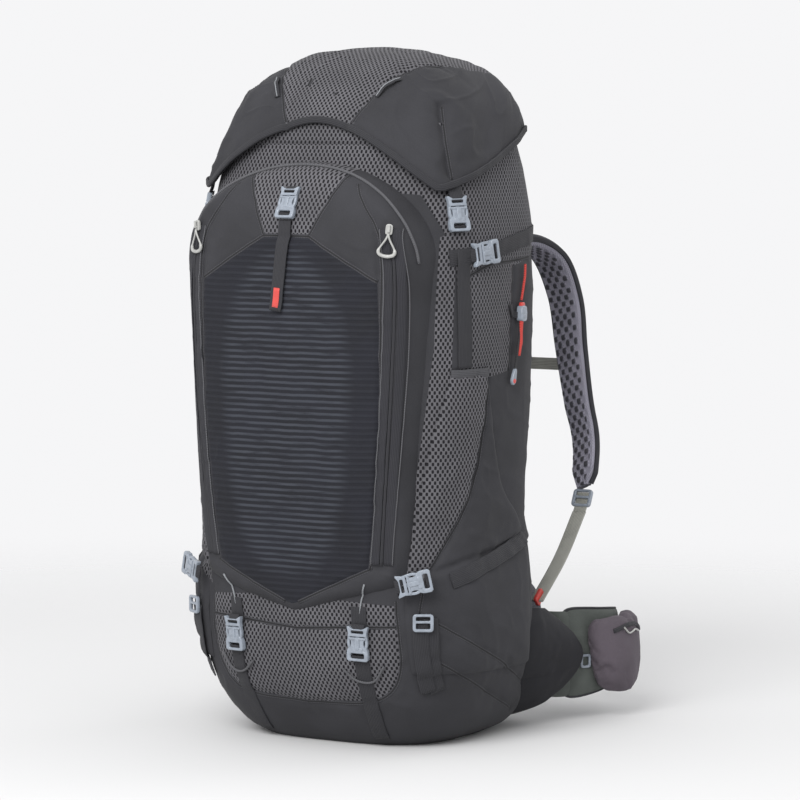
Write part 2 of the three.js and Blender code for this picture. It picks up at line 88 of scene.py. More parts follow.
class Look:
    """A principled material that is built node by node."""

    def __init__(self, name, roughness, metallic=0.0):
        self.material = bpy.data.materials.new(name)
        self.material.use_nodes = True
        self.tree = self.material.node_tree
        self.shader = self.tree.nodes["Principled BSDF"]
        self.shader.inputs["Roughness"].default_value = roughness
        self.shader.inputs["Metallic"].default_value = metallic

    def plug(self, socket, value):
        """Links the socket to another one, or sets its constant."""
        if isinstance(value, bpy.types.NodeSocket):
            self.tree.links.new(value, socket)
        else:
            socket.default_value = value

    def math(self, operation, *values):
        node = self.tree.nodes.new("ShaderNodeMath")
        node.operation = operation
        for socket, value in zip(node.inputs, values):
            self.plug(socket, value)
        return node.outputs[0]

    def times(self, a, b):
        return self.math("MULTIPLY", a, b)

    def plus(self, a, b):
        return self.math("ADD", a, b)

    def minus(self, a, b):
        return self.math("SUBTRACT", a, b)

    def attribute(self, name, output="Fac"):
        node = self.tree.nodes.new("ShaderNodeAttribute")
        node.attribute_name = name
        return node.outputs[output]

    def split(self, vector):
        node = self.tree.nodes.new("ShaderNodeSeparateXYZ")
        self.plug(node.inputs[0], vector)
        return node.outputs

    def noise(self, scale, detail, stretch=(1, 1, 1)):
        place = self.tree.nodes.new("ShaderNodeMapping")
        place.inputs["Scale"].default_value = stretch
        self.plug(place.inputs["Vector"], self.coordinates())
        node = self.tree.nodes.new("ShaderNodeTexNoise")
        node.inputs["Scale"].default_value = scale
        node.inputs["Detail"].default_value = detail
        self.plug(node.inputs["Vector"], place.outputs[0])
        return node.outputs["Fac"]

    def coordinates(self):
        return self.tree.nodes.new("ShaderNodeTexCoord").outputs["Object"]

    def step(self, value, low, high):
        """0 below low, 1 above high, smooth between."""
        node = self.tree.nodes.new("ShaderNodeMapRange")
        node.interpolation_type = "SMOOTHSTEP"
        self.plug(node.inputs["Value"], value)
        node.inputs["From Min"].default_value = low
        node.inputs["From Max"].default_value = high
        return node.outputs["Result"]

    def mix(self, factor, low, high):
        node = self.tree.nodes.new("ShaderNodeMix")
        node.data_type = "RGBA"
        self.plug(node.inputs[0], factor)
        self.plug(node.inputs[6], low if not isinstance(low, tuple) else (*low, 1))
        self.plug(node.inputs[7], high if not isinstance(high, tuple) else (*high, 1))
        return node.outputs[2]

    def wave(self, value, pitch):
        """Sine of a length, once per pitch."""
        return self.math("SINE", self.times(value, 2 * math.pi / pitch))

    def bump(self, height, distance, strength=1.0):
        node = self.tree.nodes.new("ShaderNodeBump")
        node.inputs["Strength"].default_value = strength
        node.inputs["Distance"].default_value = distance
        self.plug(node.inputs["Height"], height)
        self.tree.links.new(node.outputs[0], self.shader.inputs["Normal"])

    def colour(self, value):
        self.plug(self.shader.inputs["Base Color"], value)

    def rough(self, value):
        self.plug(self.shader.inputs["Roughness"], value)

    def sheen(self, weight):
        self.shader.inputs["Sheen Weight"].default_value = weight
        self.shader.inputs["Sheen Roughness"].default_value = 0.4

    def dull(self, level):
        """Lowers the mirror-like part of the reflection, as in brushed cloth."""
        self.shader.inputs["Specular IOR Level"].default_value = level


def tint(colour, factor):
    return tuple(c * factor for c in colour)


# Base colours, in linear light, and the pitches of weave, ribs and mesh holes in metres.
CHARCOAL = (0.032, 0.032, 0.036)
NAVY = (0.0105, 0.0108, 0.0145)
HEX_GROUND = (0.105, 0.103, 0.112)
HEX_HOLE_SHADE = (0.008, 0.008, 0.010)
# Colour of the mesh's holes: the backing cloth darkened with painted shade in the holes.
OUTER_CLOTH = (0.052, 0.053, 0.062)
RIB_LINE = (0.041, 0.045, 0.056)
WEAVE_PITCH = 0.0016
RIB_PITCH = 0.0074
HEX_PITCH = {"across": 0.0062, "up": 0.0092}
BRAID_PITCH = 0.003
ZONE_EDGE = 0.0004  # half the width over which one panel's look turns into the next


def pack_fabric(name, tone=CHARCOAL, zones=(), all_mesh=False):
    """Woven nylon. Zones are the mesh panels, with painted shade in their holes, the dark stretch panel and
    its printed ribs.
    """
    look = Look(name, roughness=0.72)
    across, up, _ = look.split(look.attribute("cloth", "Vector"))
    weave = look.times(look.wave(across, WEAVE_PITCH), look.wave(up, WEAVE_PITCH))
    mottle = look.noise(16, detail=5)
    fibres = look.noise(900, detail=1)
    blotch = look.plus(look.times(mottle, 0.7), look.times(fibres, 0.3))

    def mottled(tone, low, high):
        return look.mix(look.step(blotch, 0.3, 0.7), tint(tone, low), tint(tone, high))

    cloth = mottled(tone, 0.82, 1.2)
    height = look.times(weave, 0.1)
    if "dark_zone" in zones:
        dark = look.step(look.attribute("dark_zone"), -ZONE_EDGE, ZONE_EDGE)
        cloth = look.mix(dark, cloth, mottled(NAVY, 0.9, 1.5))
        wobble = look.times(look.noise(30, detail=2, stretch=(1, 1, 0.3)), 0.0022)
        ribs = look.step(look.wave(look.plus(up, wobble), RIB_PITCH), -0.5, 0.9)
        broken = look.step(look.noise(60, detail=3, stretch=(0.5, 0.5, 4)), 0.1, 0.6)
        fade = look.step(look.attribute("rib_zone"), -0.002, 0.03)
        line = look.times(ribs, look.times(broken, fade))
        faint = look.times(look.times(ribs, dark), 0.14)
        cloth = look.mix(look.math("MAXIMUM", line, faint), cloth, RIB_LINE)
        height = look.plus(height, look.times(look.times(ribs, dark), 0.7))
    if "mesh_zone" in zones or all_mesh:
        holes = look.times(look.wave(across, HEX_PITCH["across"]), look.wave(up, HEX_PITCH["up"]))
        hole = look.step(holes, -0.02, 0.3)
        zone = 1.0 if all_mesh else look.step(look.attribute("mesh_zone"), -ZONE_EDGE, ZONE_EDGE)
        # Holes painted near black: the backing cloth with painted shade in them.
        panel = look.mix(hole, mottled(HEX_GROUND, 0.85, 1.15), HEX_HOLE_SHADE)
        cloth = panel if all_mesh else look.mix(zone, cloth, panel)
        height = look.minus(height, look.times(look.times(hole, zone), 1.0))
    look.colour(cloth)
    look.rough(look.step(mottle, -1.4, 1.2))
    look.dull(0.22)
    look.sheen(0.04)
    look.bump(height, 0.0006)
    return look.material


def webbing_look(name, tone):
    """Flat woven webbing, ribbed across and grained along."""
    look = Look(name, roughness=0.75)
    along_it, across, _ = look.split(look.attribute("cloth", "Vector"))
    lines = look.wave(across, 0.0021)
    picks = look.wave(along_it, 0.0013)
    height = look.plus(look.times(lines, 0.6), look.times(picks, 0.3))
    worn = look.noise(60, detail=4)
    shade = look.plus(look.times(look.step(lines, -1, 1), 0.45), look.times(worn, 0.6))
    look.colour(look.mix(shade, tint(tone, 0.6), tint(tone, 1.35)))
    look.rough(look.step(worn, -1.2, 1.2))
    look.dull(0.3)
    look.sheen(0.04)
    look.bump(height, 0.0003)
    return look.material


def plastic_look(name, tone, roughness=0.4):
    """Moulded plastic with a fine grain and a little scuffing."""
    look = Look(name, roughness=roughness)
    scuff = look.noise(180, detail=5)
    look.colour(look.mix(look.step(scuff, 0.35, 0.75), tone, tint(tone, 0.78)))
    look.rough(look.step(scuff, 0.9 - 2.4 * roughness, 1.9 - roughness))
    look.bump(look.noise(1400, detail=1), 0.0001, 0.5)
    return look.material


def mesh_pad_look(name, tone):
    """Open spacer mesh, a lattice of threads over pits painted dark as the shade in them, with plain cloth
    on the outer face.
    """
    look = Look(name, roughness=0.85)
    along_it, across, _ = look.split(look.attribute("cloth", "Vector"))
    cells = look.times(look.wave(across, 0.0030), look.wave(along_it, 0.0044))
    thread = look.step(cells, 0.45, -0.1)
    wide = look.noise(35, detail=3)
    light = look.mix(wide, tint(tone, 0.8), tint(tone, 1.2))
    # Pits painted at 0.13 of the tone: painted shade in the mesh's pits.
    pit = look.step(look.attribute("pit"), 0.15, 0.9)
    mesh = look.mix(pit, look.mix(thread, tint(tone, 0.62), light), tint(tone, 0.13))
    outer = look.attribute("outer")
    look.colour(look.mix(outer, mesh, look.mix(wide, tint(OUTER_CLOTH, 0.8), tint(OUTER_CLOTH, 1.2))))
    look.dull(0.25)
    look.sheen(0.08)
    look.bump(thread, 0.0005)
    return look.material


def seam_look(name, tone):
    """A folded seam: a middle line painted dark as the shade in its crease, between two rows of stitches."""
    look = Look(name, roughness=0.85)
    along_it, across, _ = look.split(look.attribute("cloth", "Vector"))
    middle = look.step(look.math("ABSOLUTE", across), 0.0009, 0.0004)
    beside = look.minus(look.math("ABSOLUTE", across), 0.0017)
    row = look.step(look.math("ABSOLUTE", beside), 0.0004, 0.0002)
    dash = look.times(row, look.step(look.wave(along_it, 0.0034), -0.4, 0.1))
    # The dark middle line is painted shade in the seam's crease.
    cloth = look.mix(middle, tone, tint(tone, 0.2))
    look.colour(look.mix(dash, cloth, tint(tone, 2.4)))
    look.bump(look.minus(dash, middle), 0.0004)
    return look.material


def cord_look(name, tone):
    """Round braided cord."""
    look = Look(name, roughness=0.7)
    along_it, around, _ = look.split(look.attribute("cloth", "Vector"))
    braid = look.times(look.wave(along_it, BRAID_PITCH), look.wave(around, BRAID_PITCH * 0.6))
    look.colour(look.mix(look.step(braid, -0.5, 0.5), tint(tone, 0.7), tint(tone, 1.2)))
    look.bump(braid, 0.0003)
    return look.material


def metal_look(name, tone):
    """Bare metal with a brushed grain."""
    look = Look(name, roughness=0.35, metallic=1.0)
    brushed = look.noise(300, detail=3, stretch=(1, 1, 0.02))
    look.colour(look.mix(brushed, tint(tone, 0.85), tone))
    look.rough(look.step(brushed, -1.2, 2.0))
    return look.material


PANELLED = pack_fabric("panelled_fabric", zones=("mesh_zone",))
POCKET_CLOTH = pack_fabric("pocket_fabric", zones=("mesh_zone", "dark_zone"))
PLAIN = pack_fabric("plain_fabric")
DARK_CLOTH = pack_fabric("dark_fabric", tone=(0.017, 0.017, 0.02))
HEX_CLOTH = pack_fabric("hex_mesh_fabric", all_mesh=True)
BELT_CLOTH = pack_fabric("belt_pocket_fabric", tone=(0.088, 0.074, 0.088))
BELT_GREEN = pack_fabric("belt_pad_fabric", tone=(0.078, 0.086, 0.08))
WEB = webbing_look("pack_webbing", (0.028, 0.028, 0.032))
GREY_WEB = webbing_look("binding_webbing", (0.06, 0.06, 0.066))
ZIP_TAPE = webbing_look("zip_tape", (0.026, 0.026, 0.031))
OLIVE_WEB = webbing_look("olive_webbing", (0.3, 0.3, 0.27))
SEAM = seam_look("stitched_seam", (0.026, 0.026, 0.03))
# Pale cord for the pocket's piping and the bay loops, also laid on the zip flaps' edges as a painted
# highlight.
PALE_PIPING_AND_FOLD_HIGHLIGHT = cord_look("pale_piping_and_fold_highlight", (0.085, 0.085, 0.093))
REFLECTIVE = cord_look("reflective_cord", (0.24, 0.25, 0.265))
RED_CORD = cord_look("red_bungee", (0.5, 0.045, 0.035))
BLACK_CORD = cord_look("black_cord", (0.02, 0.02, 0.022))
BUCKLE_PLASTIC = plastic_look("buckle_plastic", (0.25, 0.28, 0.325), roughness=0.32)
PULL_PLASTIC = plastic_look("pull_plastic", (0.38, 0.38, 0.365))
RED_PLASTIC = plastic_look("red_plastic", (0.55, 0.06, 0.05))
DARK_PLASTIC = plastic_look("dark_plastic", (0.02, 0.022, 0.025))
STRAP_MESH = mesh_pad_look("strap_mesh", (0.36, 0.35, 0.42))
PAD_MESH = mesh_pad_look("back_mesh", (0.085, 0.085, 0.1))
ALLOY = metal_look("frame_alloy", (0.72, 0.74, 0.76))


# ---------------------------------------------------------------- geometry tools


def noise(u, v, seed):
    """Smooth noise from -1 to 1, with cells of size 1."""
    lattice = np.random.default_rng(seed).uniform(-1, 1, (64, 64))
    iu, iv = np.floor(u).astype(int), np.floor(v).astype(int)
    fu, fv = u - iu, v - iv
    fu, fv = fu * fu * (3 - 2 * fu), fv * fv * (3 - 2 * fv)
    low = lattice[iu % 64, iv % 64] * (1 - fu) + lattice[(iu + 1) % 64, iv % 64] * fu
    high = lattice[iu % 64, (iv + 1) % 64] * (1 - fu) + lattice[(iu + 1) % 64, (iv + 1) % 64] * fu
    return low * (1 - fv) + high * fv


def line_distance(u, v, line):
    """Distance of every (u, v) from a line of points."""
    nearest = np.full(np.shape(u), 1e9)
    for (pu, pv), (qu, qv) in zip(line, line[1:]):
        du, dv = qu - pu, qv - pv
        t = np.clip(((u - pu) * du + (v - pv) * dv) / max(du * du + dv * dv, 1e-12), 0, 1)
        nearest = np.minimum(nearest, np.hypot(u - pu - t * du, v - pv - t * dv))
    return nearest


def depth_inside(u, v, outline):
    """How far inside a closed outline every (u, v) is; less than 0 outside it."""
    loop = [*outline, outline[0]]
    inside = np.zeros(np.shape(u), bool)
    for (pu, pv), (qu, qv) in zip(loop, loop[1:]):
        if pv != qv:
            inside ^= ((pv > v) != (qv > v)) & (u < pu + (v - pv) * (qu - pu) / (qv - pv))
    return np.where(inside, 1, -1) * line_distance(u, v, loop)


def smoothstep(x, low, high):
    """0 below low, 1 above high, smooth between."""
    t = np.clip((x - low) / (high - low), 0, 1)
    return t * t * (3 - 2 * t)


def unit(vectors):
    return vectors / np.maximum(np.linalg.norm(vectors, axis=-1, keepdims=True), 1e-12)


def curve(points, count):
    """Centripetal Catmull-Rom through the points, evenly spaced in its parameter."""
    p = np.asarray(points, float)
    p = np.vstack([2 * p[0] - p[1], p, 2 * p[-1] - p[-2]])
    knots = np.concatenate([[0], np.cumsum(np.linalg.norm(np.diff(p, axis=0), axis=1) ** 0.5)])
    spans = len(p) - 3
    where = np.linspace(0, spans, count)
    i = np.minimum(where.astype(int), spans - 1)
    t = (knots[i + 1] + (knots[i + 2] - knots[i + 1]) * (where - i))[:, None]
    k = [knots[i + j][:, None] for j in range(4)]
    q = [p[i + j] for j in range(4)]

    def blend(a, b, ka, kb):
        return (a * (kb - t) + b * (t - ka)) / (kb - ka)

    a1, a2, a3 = (blend(q[j], q[j + 1], k[j], k[j + 1]) for j in range(3))
    return blend(blend(a1, a2, k[0], k[2]), blend(a2, a3, k[1], k[3]), k[1], k[2])


def length_along(path):
    """The distance from the path's start to each of its points."""
    return np.concatenate([[0], np.cumsum(np.linalg.norm(np.diff(path, axis=0), axis=1))])


def evenly(points, spacing):
    """The same line with points a fixed distance apart."""
    p = np.asarray(points, float)
    length = length_along(p)
    where = np.linspace(0, length[-1], max(int(length[-1] / spacing), 2) + 1)
    return np.stack([np.interp(where, length, p[:, i]) for i in range(p.shape[1])], -1)


def smooth_line(points, spacing=0.004, count=None):
    """A smooth line through points in millimetres, as evenly spaced points in metres."""
    return evenly(curve(np.asarray(points) * MM, count or 12 * len(points)), spacing)


def add_mesh(name, points, faces, material, sharp=None, **attributes):
    """A smooth mesh object. Attributes are one value for each point; cloth is a position on the cloth."""
    data = bpy.data.meshes.new(name)
    data.from_pydata(np.reshape(points, (-1, 3)).tolist(), [], faces)
    for key, values in attributes.items():
        kind, field = ("FLOAT_VECTOR", "vector") if key == "cloth" else ("FLOAT", "value")
        flat = np.asarray(values, np.float32).reshape(-1)
        data.attributes.new(key, kind, "POINT").data.foreach_set(field, flat)
    data.materials.append(material)
    data.polygons.foreach_set("use_smooth", [True] * len(data.polygons))
    if sharp:
        data.set_sharp_from_angle(angle=math.radians(sharp))
    data.update()
    piece = bpy.data.objects.new(name, data)
    bpy.context.collection.objects.link(piece)
    return piece


def grid_faces(rows, columns, closed=False):
    """Quads over a grid of points, which joins up across its columns when closed."""
    row = np.arange(rows - 1)[:, None] * columns
    column = np.arange(columns if closed else columns - 1)[None]
    after = (column + 1) % columns
    quads = np.stack([row + column, row + after, row + columns + after, row + columns + column], -1)
    return quads.reshape(-1, 4).tolist()


def grid_normals(points, closed=False):
    """The way out of a grid's surface at each of its points."""
    if closed:
        across = np.roll(points, -1, 1) - np.roll(points, 1, 1)
    else:
        across = np.gradient(points, axis=1)
    return unit(np.cross(across, np.gradient(points, axis=0)))


def goes_with(piece, node):
    """The piece moves with the body of a CAD node."""
    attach(piece, body_of_node[node])
    return piece


def stands_for(piece, node):
    """The piece takes the place of a CAD node and moves with its body."""
    goes_with(piece, node)
    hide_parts(node)
    return piece


def thicken(piece, thickness, offset=-1):
    """Gives a sheet its thickness: inwards at an offset of -1, to both sides at 0."""
    shell = piece.modifiers.new("thickness", "SOLIDIFY")
    shell.thickness = thickness
    shell.offset = offset


class Surface:
    """Finds places on a finished piece, so that seams, webbing and fittings lie on its cloth."""

    def __init__(self, *pieces):
        points, faces = [], []
        for piece in pieces:
            first = len(points)
            points += [v.co.copy() for v in piece.data.vertices]
            faces += [[first + i for i in f.vertices] for f in piece.data.polygons]
        self.tree = BVHTree.FromPolygons(points, faces)

    def cast(self, start, way):
        point, normal, _, _ = self.tree.ray_cast(Vector(start), Vector(way))
        if point is None:
            point, normal, _, _ = self.tree.find_nearest(Vector(start))
        return np.array(point), np.array(normal)

    def front(self, x, z):
        return self.cast((x, -1, z), (0, 1, 0))

    def side(self, sign, y, z):
        return self.cast((sign, y, z), (-sign, 0, 0))

    def near(self, point):
        found, normal, _, _ = self.tree.find_nearest(Vector(point))
        return np.array(found), np.array(normal)


def lay(places, lift):
    """Points and normals of a line of (point, normal) places, with the normals smoothed along it."""
    points = np.array([p for p, _ in places])
    normals = np.array([n for _, n in places])
    for _ in range(3):
        middle = normals[:-2] * 0.5 + normals[1:-1] + normals[2:] * 0.5
        normals = unit(np.vstack([normals[:1], middle, normals[-1:]]))
    return points + normals * lift, normals


def end_caps(rows, columns):
    """Faces that close the first and the last row of a closed grid."""
    return [list(range(columns))[::-1], [(rows - 1) * columns + i for i in range(columns)]]


def sweep(name, path, normals, outline, material, scale=None, closed=False):
    """Sweeps an outline of (across, out) points along a path, with capped ends unless closed."""
    path, normals, outline = (np.asarray(v, float) for v in (path, normals, outline))
    if closed:
        tangent = unit(np.roll(path, -1, 0) - np.roll(path, 1, 0))
    else:
        tangent = unit(np.gradient(path, axis=0))
    across = unit(np.cross(tangent, normals))
    out = np.cross(across, tangent)
    size = np.ones((len(path), 2)) if scale is None else np.asarray(scale, float)
    u = outline[None, :, 0] * size[:, None, 0]
    v = outline[None, :, 1] * size[:, None, 1]
    points = path[:, None] + across[:, None] * u[..., None] + out[:, None] * v[..., None]
    rows, columns = u.shape
    cloth = np.stack([np.repeat(length_along(path)[:, None], columns, 1), u, v], -1)
    faces = grid_faces(rows, columns, closed=True)
    if closed:
        last = (rows - 1) * columns
        faces += [[last + i, last + (i + 1) % columns, (i + 1) % columns, i] for i in range(columns)]
    else:
        faces += end_caps(rows, columns)
    return add_mesh(name, points, [f[::-1] for f in faces], material, cloth=cloth)


def trim(name, node, places, lift, outline, material):
    """Sweeps an outline along a line of places, at a lift above them, and fixes it to a node's body."""
    points, normals = lay(places, lift)
    return goes_with(sweep(name, points, normals, outline, material), node)


def strap_outline(width, thick):
    """A flat strap with rounded edges."""
    t = thick / 2
    half = width / 2 - t
    right = [(half + t * math.cos(a), t * math.sin(a)) for a in np.linspace(-math.pi / 2, math.pi / 2, 5)]
    return [(0, -t), (half / 2, -t), *right, (0, t), *[(-x, -z) for x, z in right]]


def round_outline(radius, count):
    """A cord's outline with so many sides."""
    angles = np.arange(count) * 2 * math.pi / count
    return [(radius * math.cos(a), radius * math.sin(a)) for a in angles]


# ---------------------------------------------------------------- moulded plates


def rounded_box(x0, x1, y0, y1, radius):
    """Outline of a box with rounded corners."""
    points = []
    for x, y, start in ((x1, y0, -90), (x1, y1, 0), (x0, y1, 90), (x0, y0, 180)):
        cx = x - math.copysign(radius, x - (x0 + x1) / 2)
        cy = y - math.copysign(radius, y - (y0 + y1) / 2)
        for a in np.radians(np.linspace(start, start + 90, 5)):
            points.append((cx + radius * math.cos(a), cy + radius * math.sin(a)))
    return points


def loop_through(points):
    """A smooth closed outline through the points, with a number of steps from each to the next."""
    steps = 8
    p = np.asarray([*points[-2:], *points, *points[:2]], float)
    full = curve(p, (len(p) - 1) * steps + 1)
    return [tuple(q) for q in full[2 * steps : (2 + len(points)) * steps]]


def mirrored(half):
    """A symmetric outline from its right half, listed from the bottom to the top."""
    return [*half, *[(-x, y) for x, y in reversed(half)]]


def plate(outlines, low, high, edge=0.5):
    """A flat moulding with rounded edges, in millimetres: the first outline less the others."""
    shape = bpy.data.curves.new("plate", "CURVE")
    shape.dimensions, shape.fill_mode = "2D", "BOTH"
    shape.extrude = (high - low) / 2 - edge
    shape.bevel_depth, shape.bevel_resolution = edge, 2
    shape.offset = -edge
    for outline in outlines:
        spline = shape.splines.new("POLY")
        spline.points.add(len(outline) - 1)
        for point, (x, y) in zip(spline.points, outline):
            point.co = (x, y, 0, 1)
        spline.use_cyclic_u = True
    holder = bpy.data.objects.new("plate", shape)
    data = bpy.data.meshes.new_from_object(holder)
    bpy.data.objects.remove(holder)
    solid = bmesh.new()
    solid.from_mesh(data)
    bmesh.ops.remove_doubles(solid, verts=solid.verts, dist=1e-4)
    bmesh.ops.recalc_face_normals(solid, faces=solid.faces)
    points = np.array([v.co for v in solid.verts]) + (0, 0, (low + high) / 2)
    faces = [[v.index for v in f.verts] for f in solid.faces]
    solid.free()
    bpy.data.meshes.remove(data)
    return points, faces


def assemble(name, parts, place, material):
    """Joins mouldings in millimetres into one piece at a place: (point, slide, out, scale)."""
    point, slide, out, scale = place
    y = unit(np.asarray(slide, float))
    z = unit(np.asarray(out, float) - y * np.dot(out, y))
    axes = np.array([np.cross(y, z), y, z])
    points, faces, first = [], [], 0
    for part_points, part_faces in parts:
        points.append(part_points)
        faces += [[first + i for i in f] for f in part_faces]
        first += len(part_points)
    placed = np.asarray(point) + np.vstack(points) @ axes * (scale * MM)
    return add_mesh(name, placed, faces, material, sharp=35)


# ---------------------------------------------------------------- the pack's body

CORNER = 3.2  # superellipse exponent of every section
RIM_Z = 0.762
FLOOR_WALL = 0.006


def table(*rows):
    """Rows of millimetres, in metres."""
    return np.array(rows) * MM


# Height, half width, reach to the front and reach to the back of each section, in millimetres.
BAG = table(
    (0, 128, 78, 148),
    (12, 152, 94, 170),
    (35, 170, 110, 182),
    (70, 182, 134, 183),
    (120, 193, 149, 178),
    (190, 198, 154, 168),
    (300, 192, 146, 157),
    (430, 198, 140, 162),
    (560, 200, 134, 166),
    (650, 194, 126, 170),
    (715, 182, 114, 167),
    (766, 168, 100, 163),
)
POCKET = table(
    (150, 148, 156, 60),
    (200, 160, 166, 60),
    (300, 172, 175, 60),
    (400, 182, 178, 60),
    (500, 189, 179, 60),
    (580, 193, 178, 60),
    (640, 191, 175, 60),
    (690, 183, 160, 60),
    (745, 166, 126, 60),
)
LID = table(
    (692, 195, 132, 176),
    (730, 187, 121, 177),
    (766, 177, 108, 175),
    (800, 164, 90, 169),
    (828, 142, 66, 154),
    (850, 112, 38, 128),
    (864, 72, 4, 96),
    (870, 36, -22, 66),
)


def along(rows, column, z):
    """One column of a table of sections at height z, by a cubic through its rows."""
    z = np.clip(np.asarray(z, float), rows[0, 0], rows[-1, 0])
    i = np.clip(np.searchsorted(rows[:, 0], z) - 1, 0, len(rows) - 2)
    before, after = np.maximum(i - 1, 0), np.minimum(i + 2, len(rows) - 1)
    height, value = rows[:, 0], rows[:, column]
    span = height[i + 1] - height[i]
    t = (z - height[i]) / span
    start = (value[i + 1] - value[before]) / (height[i + 1] - height[before]) * span
    end = (value[after] - value[i]) / (height[after] - height[i]) * span
    rise = t * t * (3 - 2 * t)
    return value[i] + (value[i + 1] - value[i]) * rise + t * (1 - t) * ((1 - t) * start - t * end)


def section(rows, z, angle, grow=0.0, fill=1.0):
    """Point of a body's section at height z, where angle is the polar angle from +X towards +Y."""
    a, f, b = (along(rows, column, z) + grow for column in (1, 2, 3))
    c, s = np.cos(angle), np.sin(angle)
    reach = fill / (np.abs(c) ** CORNER + np.abs(s) ** CORNER) ** (1 / CORNER)
    return np.stack(np.broadcast_arrays(a * reach * c, (b - f) / 2 + (b + f) / 2 * reach * s, z), -1)


def front_y(rows, x, z):
    """How far forward a body's front lies at (x, z)."""
    a, f, b = (along(rows, column, z) for column in (1, 2, 3))
    return (b - f) / 2 - (b + f) / 2 * np.maximum(1 - np.abs(x / a) ** CORNER, 0) ** (1 / CORNER)


def angle_at_x(rows, z, x):
    """The angle at which the front half of a section has this x."""
    share = x / float(along(rows, 1, z))
    return -math.atan2((1 - abs(share) ** CORNER) ** (1 / CORNER), share)


def angle_at_y(rows, z, y):
    """The angle at which the right half of a section has this y."""
    f, b = float(along(rows, 2, z)), float(along(rows, 3, z))
    share = (2 * y - b + f) / (b + f)
    return math.atan2(share, (1 - abs(share) ** CORNER) ** (1 / CORNER))


def skin(rows, z, angle, lift):
    """A place on a body's plain skin: the point, and the ways out, up and round."""
    point = section(rows, z, angle)
    up = unit(section(rows, z + MM, angle) - point)
    around = unit(section(rows, z, angle + 0.01) - point)
    out = unit(np.cross(around, up))
    return point + out * lift, out, up, around


COLUMNS = 420  # points round each row of the bag, the lid and the collar
AROUND = np.linspace(-1.5 * math.pi, 0.5 * math.pi, COLUMNS + 1)[:-1]
FRONT_COLUMN = int(np.argmin(np.abs(AROUND + math.pi / 2)))


def arc_lengths(points):
    """Distance round each row of a closed grid, from the middle of the front."""
    step = np.linalg.norm(np.roll(points, -1, 1) - points, axis=-1)
    length = np.cumsum(step, 1) - step
    return length - length[:, FRONT_COLUMN : FRONT_COLUMN + 1]


HEIGHTS = np.linspace(0, RIM_Z, 191)
RINGS = section(BAG, HEIGHTS[:, None], AROUND[None])
LENGTHS = arc_lengths(RINGS)


def bag_point(s, z):
    """The point of the plain bag at a distance s round it from the middle of the front."""
    row = float(np.interp(z, HEIGHTS, np.arange(len(HEIGHTS))))
    low = min(int(row), len(HEIGHTS) - 2)
    ends = [[np.interp(s, LENGTHS[i], RINGS[i, :, k]) for k in range(3)] for i in (low, low + 1)]
    return np.array(ends[0]) * (low + 1 - row) + np.array(ends[1]) * (row - low)


def creases(s, z, lines, seed, depth=0.0022, puff=0.0022):
    """Seams pull the cloth in, and it puffs and puckers beside them."""
    distance = np.full(np.shape(s), 1.0)
    for line in lines:
        distance = np.minimum(distance, line_distance(s, z, np.asarray(line) * MM))
    pucker = noise(s / 0.011, z / 0.011, seed) * 0.0011 * np.exp(-distance / 0.016)
    swell = puff * smoothstep(distance, 0.002, 0.045)
    return swell - depth * np.exp(-((distance / 0.004) ** 2)) + pucker


def folds(s, z, seed, size=1.0):
    """Broad soft folds with finer ones across them."""
    warp = noise(s / 0.09, z / 0.12, seed) * 0.7
    broad = noise(s / 0.075 + warp, z / 0.13, seed + 1)
    ridge = 1 - np.abs(noise(s / 0.05 + warp, z / 0.028 + s / 0.09, seed + 2)) * 2
    fine = noise(s / 0.018, z / 0.014, seed + 3)
    return size * (0.0016 * broad + 0.0009 * np.maximum(ridge, 0) ** 3 + 0.00025 * fine)


# Panels and seams of the bag, as (distance round from the middle of the front, height) in millimetres.
UPPER_MESH = [(0, 780), (420, 780), (393, 612), (322, 600), (317, 470)]
UPPER_MESH += [(214, 457), (200, 620), (150, 690), (0, 700)]
SIDE_MESH = [(140, 196), (176, 500), (178, 640), (200, 640), (200, 473)]
SIDE_MESH += [(267, 473), (259, 400), (236, 320), (176, 224)]
BAY_MESH = [(0, 196), (139, 186), (141, 110), (128, 82), (100, 64), (0, 56)]
MESH_PANELS = [UPPER_MESH, SIDE_MESH, BAY_MESH]
BAG_SEAMS = [
    [(223, 591), (262, 603), (320, 606), (393, 610)],
    [(267, 473), (259, 400), (236, 320), (176, 224), (166, 178)],
    [(198, 473), (230, 470), (267, 473)],
    [(317, 470), (322, 600)],
    [(0, 152), (70, 157), (139, 160)],
    [(139, 192), (141, 110), (128, 82), (100, 64), (0, 56)],
    [(185, 166), (250, 128), (320, 92), (386, 57)],
    [(170, 125), (240, 82), (319, 34)],
]
PLEAT = [(158, 222), (230, 240), (309, 251), (397, 267)]
BULGE = [(250, 120), (330, 130)]  # where the load swells the sides above the floor
FLAT_BACK = (0.40, 0.47)  # distances round the bag over which its folds die away towards the frame


